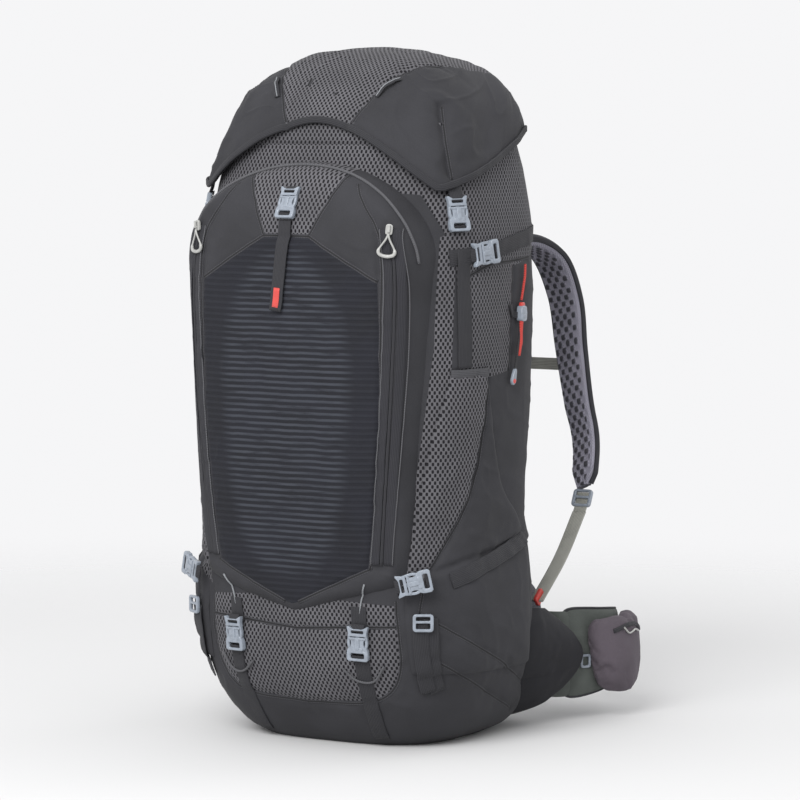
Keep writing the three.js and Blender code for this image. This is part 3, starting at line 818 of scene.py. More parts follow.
def main_bag():
    """Outer skin, rim, lining and floor in one piece, with panels marked for the material."""
    bottom = [(0.0, fill, 0.0) for fill in (0.02, 0.3, 0.6, 0.85)]
    outer = [(z, 1.0, 0.0) for z in np.linspace(0.0, RIM_Z, 216)]
    inner = [(z, 1.0, -FLOOR_WALL) for z in np.linspace(RIM_Z, FLOOR_WALL, 30)]
    floor = [(FLOOR_WALL, fill, -FLOOR_WALL) for fill in (0.7, 0.35, 0.02)]
    rows = bottom + outer + inner + floor
    points = np.array([section(BAG, z, AROUND, grow, fill) for z, fill, grow in rows])
    s, z = arc_lengths(points), points[..., 2]
    outside = np.zeros(len(rows))
    outside[len(bottom) : len(bottom) + len(outer)] = 1
    outside = outside[:, None] * smoothstep(z, 0.004, 0.05) * (1 - 0.8 * smoothstep(z, 0.70, 0.76))
    size = np.abs(s)
    sack = creases(size, z, BAG_SEAMS + [PLEAT], seed=3) + folds(s, z, seed=11)
    sack += 0.006 * np.exp(-((line_distance(size, z, np.asarray(BULGE) * MM) / 0.05) ** 2))
    sack *= 1 - 0.85 * smoothstep(size, *FLAT_BACK)
    points = points + grid_normals(points, closed=True) * (sack * outside)[..., None]
    panel = np.full(s.shape, -1.0)
    for outline in MESH_PANELS:
        panel = np.maximum(panel, depth_inside(size, z, np.asarray(outline) * MM))
    panel = np.where(outside > 0, panel, -1.0)
    cloth = np.stack([s, z, 0 * s], -1)
    faces = grid_faces(len(rows), len(AROUND), closed=True) + end_caps(len(rows), len(AROUND))
    return add_mesh("bag_cloth", points, faces, PANELLED, cloth=cloth, mesh_zone=panel)


def seam(name, node, places):
    trim(name, node, places, 0.0001, strap_outline(0.0052, 0.0011), SEAM)


bag = main_bag()
stands_for(bag, "main_bag")
bag_surface = Surface(bag)


# ---------------------------------------------------------------- front pocket

POCKET_FOOT = {"middle": 0.172, "edge": 0.212, "half": 0.148}
POCKET_TOP = [(0.169, 0.610), (0.170, 0.680), (0.096, 0.731), (0.0, 0.731)]
POCKET_EDGE = 0.015
POCKET_COLUMNS, POCKET_ROWS = 221, 231
INSET = 0.9999  # keeps the rim's own points inside it


def bezier(points, t):
    """Points of a cubic Bezier curve."""
    t = np.asarray(t, float)[..., None]
    p = [np.asarray(q) for q in points]
    return (1 - t) ** 3 * p[0] + 3 * t * (1 - t) ** 2 * p[1] + 3 * t * t * (1 - t) * p[2] + t**3 * p[3]


def pocket_ends(u):
    """Foot and top of the pocket's column at u, from -1 at its left edge to 1 at its right."""
    size = np.abs(u)
    rise = POCKET_FOOT["edge"] - POCKET_FOOT["middle"]
    foot = np.stack([POCKET_FOOT["half"] * u, POCKET_FOOT["middle"] + rise * size], -1)
    top = bezier(POCKET_TOP, 1 - size)
    return foot, top * np.stack([np.sign(u) + (u == 0), np.ones_like(u)], -1)


# Panels and seams of the pocket, as (x, height) in millimetres.
POCKET_MESH = [(-76, 735), (76, 735), (34, 640), (-34, 640)]
STRETCH_PANEL = [(0, 640), (34, 640), (128, 586), (131, 500), (128, 400)]
STRETCH_PANEL += [(120, 300), (111, 232), (10, 186), (0, 184)]
RIB_PRINT = [(0, 640), (30, 634), (68, 600), (98, 545), (108, 480)]
RIB_PRINT += [(105, 420), (98, 340), (82, 264), (48, 212), (0, 205)]
POCKET_SEAMS = [
    [(71, 714), (34, 640)],
    [(34, 640), (128, 586)],
    [(0, 640), (34, 640)],
    [(88, 704), (104, 680), (128, 640), (131, 500), (128, 400), (120, 300), (111, 232)],
    [(111, 232), (10, 186)],
]
ZIP_LINE = [(140, 650), (147, 600), (146, 520), (140, 420), (132, 320), (124, 238)]
GARAGE = [(104, 690), (140, 668), (166, 640)]


def both_halves(outline):
    """A closed outline from its right half, listed from the middle of its top to the middle of its foot."""
    return [*outline, *[(-x, z) for x, z in reversed(outline)]]


def front_pocket():
    """The stuffed pocket: a sheet over its outline that rises from the bag all round its edge."""
    even = np.linspace(-1, 1, POCKET_COLUMNS)
    u = np.sin(even * math.pi / 2) * 0.35 + even * 0.65
    t = np.linspace(0, 1, POCKET_ROWS)
    t = 0.6 * t + 0.4 * (1 - np.cos(math.pi * t)) / 2
    foot, top = pocket_ends(u)
    flat = foot[None] * (1 - t[:, None, None]) + top[None] * t[:, None, None]
    x, z = flat[..., 0], flat[..., 1]
    rim = [tuple(p) for p in np.vstack([foot, top[::-1]])]
    inside = np.maximum(depth_inside(x * INSET, z, rim), 0)
    profile = np.sqrt(np.clip(1 - (1 - np.minimum(inside / POCKET_EDGE, 1)) ** 2, 0, 1))
    near, far = front_y(BAG, x, z) + 0.004, front_y(POCKET, x, z)
    points = np.stack([x, near + (far - near) * profile, z], -1)
    size = np.abs(x)
    stuffed = creases(size, z, POCKET_SEAMS, seed=21, depth=0.0018, puff=0.0016)
    stuffed = stuffed + folds(x, z, seed=31, size=0.8)
    zipped = line_distance(size, z, np.array(ZIP_LINE) * MM)
    stuffed = stuffed - 0.002 * np.exp(-((zipped / 0.012) ** 4))
    garage = line_distance(size, z, np.array(GARAGE) * MM)
    stuffed = stuffed + 0.003 * np.exp(-((garage / 0.010) ** 2)) * (z > 0.6)
    points = points + grid_normals(points) * (stuffed * smoothstep(inside, 0.001, 0.02))[..., None]
    step = np.linalg.norm(np.diff(points, axis=1, prepend=points[:, :1]), axis=-1)
    round_it = np.cumsum(step, 1)
    round_it -= round_it[:, [POCKET_COLUMNS // 2]]
    zones = {
        "mesh_zone": POCKET_MESH,
        "dark_zone": both_halves(STRETCH_PANEL),
        "rib_zone": both_halves(RIB_PRINT),
    }
    zones = {key: depth_inside(x, z, np.array(outline) * MM) for key, outline in zones.items()}
    cloth = np.stack([round_it, z, 0 * z], -1)
    return add_mesh("pocket_cloth", points, grid_faces(*x.shape), POCKET_CLOTH, cloth=cloth, **zones)


def front_line(outline, sign):
    """A line over the pocket's cloth from (x, height) points in millimetres."""
    return [pocket_surface.front(sign * x, z) for x, z in smooth_line(outline)]


def pocket_seams():
    for side, sign in SIDES:
        for i, line in enumerate(POCKET_SEAMS):
            seam(f"pocket_seam_{side}_{i}", "front_pocket", front_line(line, sign))


def pocket_piping():
    """Pale piping that follows the pocket's arch, just inside its edge."""
    inset = []
    for u in np.linspace(-0.985, 0.985, 90):
        _, top = pocket_ends(np.array([u]))
        x, z = top[0]
        inset.append((x * 0.975, z - 0.005))
    places = [pocket_surface.front(x, z) for x, z in evenly(inset, 0.005)]
    trim("pocket_piping", "front_pocket", places, 0.0012, round_outline(0.0019, 8), PALE_PIPING_AND_FOLD_HIGHLIGHT)


def zips():
    """Two strips of folded cloth over each zip, with the closed coil between them, and a pale cord on each
    strip's folded edge as a painted highlight.
    """
    flap, fold_highlight, coil = strap_outline(0.0118, 0.0016), round_outline(0.0008, 8), strap_outline(0.0036, 0.002)
    for side, sign in SIDES:

        def beside(shift):
            return front_line([(x + shift, z) for x, z in ZIP_LINE], sign)

        for i, shift in enumerate((-7.5, 7.5)):
            edge = shift + math.copysign(4.6, shift)
            trim(f"zip_flap_{side}_{i}", "front_pocket", beside(shift), 0.0008, flap, ZIP_TAPE)
            # The pale cord on each strip's folded edge is a painted highlight where the dark cloth turns
            # over.
            trim(f"zip_flap_fold_{side}_{i}", "front_pocket", beside(edge), 0.0018, fold_highlight, PALE_PIPING_AND_FOLD_HIGHLIGHT)
        trim(f"zip_coil_{side}", "front_pocket", beside(0), 0.0012, coil, WEB)


pocket = front_pocket()
stands_for(pocket, "front_pocket")
pocket_surface = Surface(pocket, bag)
pocket_seams()
pocket_piping()
zips()


# ---------------------------------------------------------------- lid and collar

LID_TOP = 0.870
HEM = {"arch": 0.778, "corner_x": 0.160, "corner_y": -0.077, "corner": 0.696, "back_y": 0.112, "back": 0.766}

# Panels and seams of the lid, as (x, height plus y) in millimetres. That sum grows from the hem to the top,
# and over_lid carries it on down the back.
LID_MESH = [(0, 600), (38, 640), (42, 667), (95, 812), (125, 930), (130, 1200), (0, 1200)]
LID_SEAMS = [
    [(41, 655), (95, 812), (110, 865)],
    [(146, 752), (160, 700), (175, 640)],
]
LID_SLIT = [(91, 778), (74, 728)]


def hem_height(x, y):
    """Height of the lid's hem: an arch over the front, then a straight rise to the back."""
    rise = HEM["arch"] - HEM["corner"]
    arch = HEM["corner"] + rise * (1 - np.minimum(np.abs(x) / HEM["corner_x"], 1) ** 2)
    share = np.clip((y - HEM["corner_y"]) / (HEM["back_y"] - HEM["corner_y"]), 0, 1)
    side = HEM["corner"] + (HEM["back"] - HEM["corner"]) * share
    return np.where((y < HEM["corner_y"]) & (np.abs(x) < HEM["corner_x"] + 0.004), arch, side)


def over_lid(y, z):
    """A measure that grows from the front hem, over the top and down the back."""
    return y + LID_TOP - (LID_TOP - z) * (1 - 2 * smoothstep(y, -0.02, 0.10))


def lid():
    """The stuffed lid from its hem to its crown, and the line of its hem."""
    low = section(LID, 0.730, AROUND)
    hem = hem_height(low[:, 0], low[:, 1])
    t = np.linspace(0, 1, 130)[:, None]
    heights = LID_TOP - (LID_TOP - hem) * (1 - t) ** 1.8
    dome = section(LID, heights, AROUND[None])
    fills = np.linspace(0.9, 0.03, 12)
    cap = [section(LID, LID_TOP, AROUND, fill=f) + (0, 0, 0.0015 * (1 - f * f)) for f in fills]
    points = np.concatenate([dome, np.array(cap)])
    s = arc_lengths(points)
    size, over = np.abs(points[..., 0]), over_lid(points[..., 1], points[..., 2])
    step = np.linalg.norm(np.diff(points, axis=0, prepend=points[:1]), axis=-1)
    up = np.cumsum(step, 0)
    stuffed = creases(size, over, LID_SEAMS, seed=41, depth=0.0026, puff=0.003)
    stuffed += folds(s + 0.5, up, seed=51, size=1.9) * smoothstep(up, 0.004, 0.03)
    dart = line_distance(size, over, np.array(LID_SEAMS[1]) * MM)
    stuffed += 0.0045 * np.exp(-(((dart - 0.016) / 0.014) ** 2)) - 0.002 * np.exp(-((dart / 0.006) ** 2))
    corner = line_distance(size, points[..., 2], [(0.176, 0.700), (0.150, 0.80)])
    stuffed += 0.0016 * noise(s / 0.022, up / 0.07, 57) * np.exp(-corner / 0.05)
    calm = 1 - smoothstep(points[..., 2], LID_TOP - 0.01, LID_TOP)
    points = points + grid_normals(points, closed=True) * (stuffed * (0.35 + 0.65 * calm))[..., None]
    panel = depth_inside(size, over, np.array(LID_MESH) * MM)
    cloth = np.stack([points[..., 0], 0.85 * over, 0 * over], -1)
    faces = grid_faces(*s.shape, closed=True)
    last = (s.shape[0] - 1) * s.shape[1]
    faces.append([last + i for i in range(s.shape[1])])
    piece = add_mesh("lid_cloth", points, faces, PANELLED, cloth=cloth, mesh_zone=panel)
    thicken(piece, 0.003)
    return piece, points[0]


def lid_floor():
    """The underside of the lid's pocket, and the strip of mesh that shows under its front arch."""
    wall = [section(BAG, z, AROUND, 0.001) for z in (0.752, 0.760, 0.770, 0.7785)]
    floor = [section(BAG, 0.7785, AROUND, 0.001, f) for f in (0.97, 0.8, 0.5, 0.25, 0.02)]
    points = np.array(wall + floor)
    step = np.cumsum(np.linalg.norm(np.diff(points, axis=0, prepend=points[:1]), axis=-1), 0)
    cloth = np.stack([arc_lengths(points), step, 0 * step], -1)
    piece = add_mesh("lid_underside", points, grid_faces(*step.shape, closed=True), HEX_CLOTH, cloth=cloth)
    thicken(piece, 0.001)
    return piece


def lid_line(outline, sign):
    """A line over the lid's front from (x, height plus y) points in millimetres."""
    way = (0, math.sqrt(0.5), -math.sqrt(0.5))
    return [lid_surface.cast((sign * x, -1, over + 1), way) for x, over in smooth_line(outline)]


def lid_trim(hem):
    """The bound hem, the lid's seams, and a loop at each slit."""
    normals = unit(hem - (0, 0.02, 0) - hem * (0, 0, 1))
    line = hem + normals * 0.0006 + (0, 0, 0.003)
    goes_with(sweep("lid_hem_binding", line, normals, strap_outline(0.009, 0.0034), WEB, closed=True), "lid")
    for side, sign in SIDES:
        for i, line in enumerate(LID_SEAMS):
            seam(f"lid_seam_{side}_{i}", "lid", lid_line(line, sign))
        points, normals = lay(lid_line(LID_SLIT, sign), 0.0016)
        bow = np.sin(np.linspace(0, math.pi, len(points)))[:, None] * 0.004
        loop = sweep(f"lid_loop_{side}", points + normals * bow, normals, strap_outline(0.007, 0.0014), WEB)
        goes_with(loop, "lid")
        above = points + normals * (bow + 0.0012)
        edge = sweep(f"lid_loop_edge_{side}", above, normals, round_outline(0.0008, 6), REFLECTIVE)
        goes_with(edge, "lid")


def lid_tabs():
    """Folded webbing from the hem's front corners to the lid's buckles."""
    for side, sign in SIDES:
        point, slide, out, _ = on_side(BUCKLES["lid"], sign)
        top, _ = lid_surface.near(point - slide * 0.036 + out * 0.006)
        bend, end = point - slide * 0.020 + out * 0.004, point - slide * 0.0095 + out * 0.006
        line = curve([top + out * 0.001, bend, end], 30)
        tab = sweep(f"lid_tab_{side}", line, np.tile(out, (30, 1)), strap_outline(0.0185, 0.003), WEB)
        goes_with(tab, "lid")


GATHERS = 54  # pleats round the collar


def collar():
    """A gathered cloth collar inside the rim, drawn in by a cord."""
    rows = []
    for t in np.linspace(0, 1, 16):
        gather = 0.0035 * t * np.sin(AROUND * GATHERS)
        gather += 0.002 * t * noise(AROUND * 8, AROUND * 0 + t * 3, 61)
        ring = section(BAG, 0.728 + 0.024 * math.sin(t * 1.5), AROUND, -0.008 - 0.045 * t**2 + gather)
        rows.append(ring + (0, 0, 0.003 * t) * np.cos(AROUND * GATHERS)[:, None])
    points = np.array(rows)
    step = np.cumsum(np.linalg.norm(np.diff(points, axis=0, prepend=points[:1]), axis=-1), 0)
    cloth = np.stack([arc_lengths(points), step, 0 * step], -1)
    piece = add_mesh("collar_cloth", points, grid_faces(*step.shape, closed=True), PLAIN, cloth=cloth)
    thicken(piece, 0.001, offset=0)
    return piece, points[-1]


lid_piece, hem = lid()
stands_for(lid_piece, "lid")
lid_surface = Surface(lid_piece)
goes_with(lid_floor(), "lid")
lid_trim(hem)
collar_piece, drawn = collar()
stands_for(collar_piece, "spindrift_collar")
upright = np.tile((0.0, 0.0, 1.0), (len(drawn), 1))
drawcord = sweep("collar_drawcord", drawn, upright, round_outline(0.0016, 8), BLACK_CORD, closed=True)
goes_with(drawcord, "spindrift_collar")


# ---------------------------------------------------------------- side pockets

SIDE_FRONT = [(152, 100), (150, 215), (172, 380), (200, 470)]
SIDE_BACK = [(372, 92), (372, 250), (300, 330), (264, 470)]
LAYER = 0.0042
SIDE_ROWS, SIDE_COLUMNS = 130, 90
CAST_FROM = 0.1  # how far outside the plain bag a ray towards its cloth starts


def outward(plain):
    """The level way out of the pack at a point of its side."""
    return unit(np.array([plain[0], plain[1] - 0.02, 0]))


def side_pocket(side, sign):
    """A stretch pocket on the bag's side, with a mesh panel at its front."""
    v = np.linspace(0, 1, SIDE_ROWS)
    front = curve(np.array(SIDE_FRONT) * MM, SIDE_ROWS)
    back = curve(np.array(SIDE_BACK) * MM, SIDE_ROWS)
    u = np.linspace(0, 1, SIDE_COLUMNS)
    flat = front[:, None] * (1 - u[None, :, None]) + back[:, None] * u[None, :, None]
    edge = np.minimum(np.minimum(u[None], 1 - u[None]) * 0.12, np.minimum(v * 0.37, 1)[:, None])
    profile = np.sqrt(np.clip(1 - (1 - np.minimum(edge / 0.012, 1)) ** 2, 0, 1))
    s, z = flat[..., 0], flat[..., 1]
    points, normals = np.zeros((*s.shape, 3)), np.zeros((*s.shape, 3))
    for i in range(s.shape[0]):
        for j in range(s.shape[1]):
            plain = bag_point(s[i, j], z[i, j])
            out = outward(plain)
            points[i, j], _ = bag_surface.cast(plain + out * CAST_FROM, -out)
            normals[i, j] = out
    wrinkle = folds(s, z, seed=71, size=0.8) + creases(s, z, [SIDE_MESH[4:], PLEAT], seed=73, puff=0.0012)
    points = points + normals * (0.0006 + (LAYER + wrinkle) * profile)[..., None]
    points[..., 0] *= sign
    faces = grid_faces(*s.shape)
    if sign < 0:
        faces = [f[::-1] for f in faces]
    panel = depth_inside(s, z, np.array(SIDE_MESH) * MM)
    cloth = np.stack([s, z, 0 * z], -1)
    piece = add_mesh(f"side_pocket_cloth_{side}", points, faces, PANELLED, cloth=cloth, mesh_zone=panel)
    stands_for(piece, f"side_pocket_{side}")
    out = normals[-1] * (sign, 1, 1)
    line = points[-1] + out * 0.0004
    binding = sweep(f"side_pocket_binding_{side}", line, out, strap_outline(0.012, 0.003), GREY_WEB)
    goes_with(binding, "main_bag")
    return piece


side_pockets = [side_pocket(side, sign) for side, sign in SIDES]
pack_surface = Surface(bag, pocket, *side_pockets)


# ---------------------------------------------------------------- webbing on the pack

WEB_WIDTH = 0.020
WEB_THICK = 0.0018


def web(name, node, places, width=WEB_WIDTH, lift=0.0012):
    """Pack webbing along a line of places."""
    return trim(name, node, places, lift, strap_outline(width, WEB_THICK), WEB)


def side_places(line, sign, **smoothing):
    """Places on the pack's side from (y, height) points in millimetres."""
    return [pack_surface.side(sign, y, z) for y, z in smooth_line(line, **smoothing)]


def front_places(line, sign):
    """Places on the pack's front from (x, height) points in millimetres."""
    return [pack_surface.front(sign * x, z) for x, z in smooth_line(line)]


def round_places(line, sign):
    """Places over pocket and bag from (distance round the bag, height) points in millimetres."""
    found = []
    for s, z in smooth_line(line):
        plain = bag_point(sign * s, z)
        out = outward(plain)
        found.append(pack_surface.cast(plain + out * CAST_FROM, -out))
    return found


SIDE_WEB = [(-84, 613), (0, 622), (70, 633), (136, 640)]
LOWER_WEB = [(-92, 216), (-40, 230), (40, 248), (130, 272)]
BAY_WEB = [(91, 184), (91, 150), (93, 100), (90, 50), (86, 12)]
SIDE_FLAP = [(210, 624), (214, 560), (219, 478)]
HANGING_WEBS = (((166, 168), (166, 120), (168, 78)), ((178, 172), (178, 120), (180, 78)))
BAY_LOOP = [(66, 106), (84, 92), (104, 92), (120, 112)]
POCKET_CORD = [(104, 214), (96, 196), (92, 176)]


def side_webbing(side, sign):
    """One side's compression straps, flap and hanging tails, and the cords at the pocket's foot."""
    for name, node, places in (
        ("side_web", "side_strap", side_places(SIDE_WEB, sign)),
        ("lower_web", "lower_strap", side_places(LOWER_WEB, sign)),
        ("bay_web", "bag_strap", front_places(BAY_WEB, sign)),
    ):
        strap = web(f"{name}_{side}", f"{node}_{side}", places)
        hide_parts(f"{node}_{side}")
    web(f"side_flap_{side}", "main_bag", round_places(SIDE_FLAP, sign), width=0.021)
    for i, line in enumerate(HANGING_WEBS):
        web(f"hanging_web_{side}_{i}", "main_bag", round_places(line, sign), lift=0.003 - 0.001 * i)
    loop, cord = round_places(BAY_LOOP, sign), front_places(POCKET_CORD, sign)
    trim(f"bay_loop_{side}", "main_bag", loop, 0.0034, round_outline(0.0015, 8), PALE_PIPING_AND_FOLD_HIGHLIGHT)
    trim(f"pocket_cord_{side}", "main_bag", cord, 0.0012, round_outline(0.0011, 8), REFLECTIVE)


def front_strap():
    """The free tail of the front buckle's webbing, with a sewn red end."""
    route = [(0.000, 0.668), (-0.001, 0.640), (-0.004, 0.600), (-0.009, 0.548)]
    flat = evenly(curve(np.array(route), 48), 0.004)
    places = [pack_surface.front(x, z) for x, z in flat]
    points, normals = lay(places, 0.004)
    strap = sweep("front_strap", points, normals, strap_outline(0.018, WEB_THICK), WEB)
    goes_with(strap, "front_buckle_plug")
    sewn = slice(-8, -1)
    line = points[sewn] + normals[sewn] * 0.0012
    tip = sweep("front_strap_end", line, normals[sewn], strap_outline(0.009, 0.0012), RED_PLASTIC)
    goes_with(tip, "front_buckle_plug")


# ---------------------------------------------------------------- buckles, locks and zips


def seat(rows, z, angle, lift, around, up, scale):
    """Where a buckle's halves meet, the way its socket slides off, and the way out."""
    point, out, upward, round_it = skin(rows, z, angle, lift)
    return point, unit(round_it * around + upward * up), out, scale


OVER_WEB = 0.0025
BUCKLES = {
    "lid": seat(BAG, 0.674, angle_at_y(BAG, 0.674, -0.068), 0.006, 0.06, -1, 0.96),
    "side": seat(BAG, 0.617, angle_at_y(BAG, 0.617, -0.041), OVER_WEB, 1, 0.1, 1.0),
    "lower": seat(BAG, 0.214, angle_at_x(BAG, 0.214, 0.148), OVER_WEB + 0.014, 1, 0.22, 0.95),
    "bag": seat(BAG, 0.148, angle_at_x(BAG, 0.148, 0.091), OVER_WEB, 0, -1, 0.95),
}
FRONT_BUCKLE = seat(POCKET, 0.686, -math.pi / 2, 0.0014, 0, -1, 0.9)
STERNUM_BUCKLE = (np.array([2, 344, 455]) * MM, np.array([-1.0, 0, 0]), np.array([0, 1.0, 0]), 0.62)
HIP_BUCKLE = (np.array([2, 392, 93]) * MM, np.array([-1.0, 0, 0]), np.array([0, 1.0, 0]), 1.5)


def on_side(place, sign):
    """The same place on the right or the left side."""
    flip = np.array([sign, 1, 1])
    point, slide, out, scale = place
    return point * flip, slide * flip, out * flip, scale


def socket_parts():
    """Mouldings of a socket: y runs from its mouth, x across it, z out, in millimetres."""
    half = [(8, 0.3), (12.2, 0.6), (12.6, 2.6), (9.0, 4.6), (8.6, 8.5), (9.4, 12.4), (12.8, 14.6)]
    half += [(14.2, 17.5), (15, 21), (15, 29.5), (12.6, 32)]
    slot = rounded_box(-9.4, 9.4, 21.6, 28.4, 2)
    rim = [(9, 17.8), (14.6, 20), (14.9, 29.4), (12.4, 31.8)]
    ridge = rounded_box(-3.2, 3.2, 1.2, 17, 2.6)
    shoulder = rounded_box(-8.2, 8.2, 13.4, 19.5, 2.4)
    return [
        plate([mirrored(half), slot], 1.4, 7.6),
        plate([mirrored(rim), rounded_box(-9.8, 9.8, 21.2, 28.8, 2.2)], 0.6, 8.4, edge=1.0),
        plate([ridge], 7.0, 9.0, edge=0.9),
        plate([shoulder], 6.0, 8.5, edge=1.0),
        plate([rounded_box(-12.2, 12.2, 0.4, 3.4, 1.2)], 6.4, 8.4, edge=0.7),
    ]


def plug_parts():
    """Mouldings of a plug in the socket's axes: the bar for the webbing, two prongs and a guide."""
    half = [(6, -10.6), (9, -11.8), (12.6, -14.0), (14.8, -13.6), (14.0, -9.6), (12.8, -5.4), (13.4, -0.8)]
    prong = [(9.8, -2), (10.4, 3), (10.6, 9), (9.9, 12.8), (11.6, 15.8)]
    prong += [(13.4, 13.6), (14.4, 8.6), (14.0, 3.6), (12.8, -2)]
    smooth = loop_through(prong)
    return [
        plate([mirrored(half), rounded_box(-8.6, 8.6, -8.8, -4.8, 1.4)], 1.4, 7.8, edge=0.9),
        plate([smooth], 2.2, 7.0, edge=0.9),
        plate([[(-x, y) for x, y in reversed(smooth)]], 2.2, 7.0, edge=0.9),
        plate([rounded_box(-2.6, 2.6, -2, 11, 1)], 3.2, 6.2),
    ]


def buckle(name, place):
    """Both halves of a side-release buckle."""
    for half, parts in (("plug", plug_parts()), ("socket", socket_parts())):
        stands_for(assemble(f"{name}_{half}_moulding", parts, place, BUCKLE_PLASTIC), f"{name}_{half}")


def buckle_webs(name, place):
    """The turns of webbing through a buckle's two slots."""
    point, slide, out, scale = place
    outline = strap_outline(17.0 * scale * MM, WEB_THICK)
    for half, y0, y1 in (("plug", -15.5, -6.8), ("socket", 25.0, 33.0)):
        y = np.linspace(y0, y1, 14)
        turn = np.clip((y - y0 if half == "plug" else y1 - y) / (y1 - y0), 0, 1)
        z = 1.2 + 5.4 * turn**0.7
        points = point + (slide[None] * y[:, None] + out[None] * z[:, None]) * scale * MM
        normals = np.tile(out, (len(y), 1))
        goes_with(sweep(f"{name}_{half}_web", points, normals, outline, WEB), f"{name}_{half}")


def ladder_lock(name, place):
    """A flat frame with two slots for webbing."""
    outline = rounded_box(-14, 14, 0, 24, 4.5)
    holes = [rounded_box(-9.6, 9.6, 3.6, 9.0, 1.6), rounded_box(-9.6, 9.6, 12.4, 20.0, 1.6)]
    parts = [plate([outline, *holes], 0, 5, edge=1.2)]
    return assemble(name, parts, place, BUCKLE_PLASTIC)


def zip_fittings(side, sign):
    """The slider body with its bridge, and the pull: a cord teardrop with a moulded grip below."""

    def zip_place(z):
        x = np.interp(z, (0.430, 0.650), (0.121, 0.140))
        return skin(POCKET, z, angle_at_x(POCKET, z, x), 0.0036)

    top, out, _, _ = zip_place(0.650)
    slide = unit(zip_place(0.430)[0] - top)
    place = on_side((top, slide, out, 1.0), sign)
    body = loop_through([(0, -6), (3.6, -4.6), (4.4, 1), (3.4, 6.6), (-3.4, 6.6), (-4.4, 1), (-3.6, -4.6)])
    bridge = [
        plate([rounded_box(-1.6, 1.6, -5, 4, 1)], 3.6, 5.0),
        plate([rounded_box(-1.6, 1.6, -5, -3, 0.6)], 1.2, 4.6),
        plate([rounded_box(-1.6, 1.6, 2, 4, 0.6)], 1.2, 4.6),
    ]
    parts = [plate([body], -1.6, 1.6, edge=0.6), *bridge]
    slider = assemble(f"zip_slider_body_{side}", parts, place, PULL_PLASTIC)
    stands_for(slider, f"zip_slider_{side}")
    point, y, out, _ = place
    x = np.cross(y, out)
    t = np.linspace(0.03, 0.97, 80)
    swing = 14.0 * np.sin(2 * math.pi * t) * np.sin(math.pi * t) ** 1.2
    line = np.column_stack([swing, 4.4 + 29.8 * np.sin(math.pi * t) ** 1.1])
    path = point + (x[None] * line[:, :1] + y[None] * line[:, 1:] + out[None] * 3.6) * MM
    normals = np.tile(out, (len(path), 1))
    thick = 1 + 0.9 * smoothstep(line[:, 1], 24, 28)
    pull = sweep(f"zip_pull_loop_{side}", path, normals, round_outline(0.0012, 10), PULL_PLASTIC,
                 scale=np.stack([thick, thick * 0.9], -1))
    stands_for(pull, f"zip_pull_{side}")


def keeper():
    """The pole keeper: a cord lock on a red bungee; the thin cord that hangs from it is made by keeper_cord.
    """
    place = seat(BAG, 0.540, angle_at_y(BAG, 0.540, 0.050), 0.001, 0, 1, 1.0)
    right = [(6, -8.6), (7.5, -2), (6.6, 5), (4.8, 9)]
    shell = loop_through([(0, -10), *mirrored(right)])
    parts = [plate([shell], 0, 9, edge=1.6), plate([rounded_box(-4, 4, -6, -1, 2)], 8, 9.6, edge=0.7)]
    stands_for(assemble("keeper_lock_moulding", parts, place, BUCKLE_PLASTIC), "keeper_lock")
    button = plate([rounded_box(-4, 4, -0.6, 14, 2.4)], 1.8, 7.2, edge=1.2)
    stands_for(assemble("keeper_button_moulding", [button], place, RED_PLASTIC), "keeper_button")
    for name, line, lift, outline, material in (
        ("keeper_bungee", [(68, 600), (60, 576), (53, 556)], 0.0035, round_outline(0.0016, 8), RED_CORD),
        ("keeper_sleeve", [(48, 531), (45, 505), (41, 488)], 0.007, round_outline(0.0026, 10), RED_CORD),
        ("keeper_tab", [(26, 552), (34, 540), (46, 538)], 0.003, strap_outline(0.008, 0.0016), WEB),
    ):
        trim(name, "main_bag", side_places(line, 1, spacing=0.003, count=30), lift, outline, material)


def keeper_cord():
    """The thin cord that hangs from the lock, with a moulded drop on its end."""
    route = np.array([(204.5, 47, 529.5), (205.5, 43, 510), (206, 37, 488), (205, 32, 466)]) * MM
    path = evenly(curve(route, 60), 0.002)
    out = np.tile((1.0, 0.0, 0.0), (len(path), 1))
    cord = sweep("keeper_pull_cord", path, out, round_outline(0.0015, 10), BLACK_CORD)
    stands_for(cord, "keeper_cord")
    end, way = path[-1], unit(path[-1] - path[-6])
    place = (end - way * 0.006, way, np.array([1.0, 0, 0]), 1.0)
    drop = loop_through([(0, 0), (2.4, 2), (4.2, 12), (4.4, 17), (0, 21), (-4.4, 17), (-4.2, 12), (-2.4, 2)])
    tip = loop_through([(0, 13), (2.6, 14), (2.8, 17), (0, 19), (-2.8, 17), (-2.6, 14)])
    tab = assemble("keeper_pull_tab", [plate([drop], -2, 2.4, edge=1.2)], place, BUCKLE_PLASTIC)
    red = assemble("keeper_pull_end", [plate([tip], -2.3, 2.9, edge=0.5)], place, RED_PLASTIC)
    for piece in (tab, red):
        goes_with(piece, "keeper_cord")


lid_tabs()
for side, sign in SIDES:
    for i, line in enumerate(BAG_SEAMS):
        seam(f"bag_seam_{side}_{i}", "main_bag", round_places(line, sign))
    side_webbing(side, sign)
    for kind, place in BUCKLES.items():
        buckle(f"{kind}_buckle_{side}", on_side(place, sign))
        buckle_webs(f"{kind}_buckle_{side}", on_side(place, sign))
    point, normal = round_places([(170, 178), (171, 170)], sign)[0]
    lock = ladder_lock(f"ladder_lock_{side}", (point + normal * 0.004, np.array([0, 0, -1.0]), normal, 0.92))
    goes_with(lock, "main_bag")
    zip_fittings(side, sign)
buckle("front_buckle", FRONT_BUCKLE)
buckle_webs("front_buckle", FRONT_BUCKLE)
front_strap()
keeper()
keeper_cord()


# ---------------------------------------------------------------- harness


def tapered(t, low, rate):
    """Scale along a pad that grows from a low value at both ends to 1."""
    return np.minimum(1, low + rate * np.minimum(t, 1 - t))


def rounded_ends(t, exponent, least=0.06):
    """Scale along a pad that is full in the middle and rounds off at both ends."""
    return np.maximum(least, (1 - np.abs(2 * t - 1) ** exponent) ** (1 / exponent))


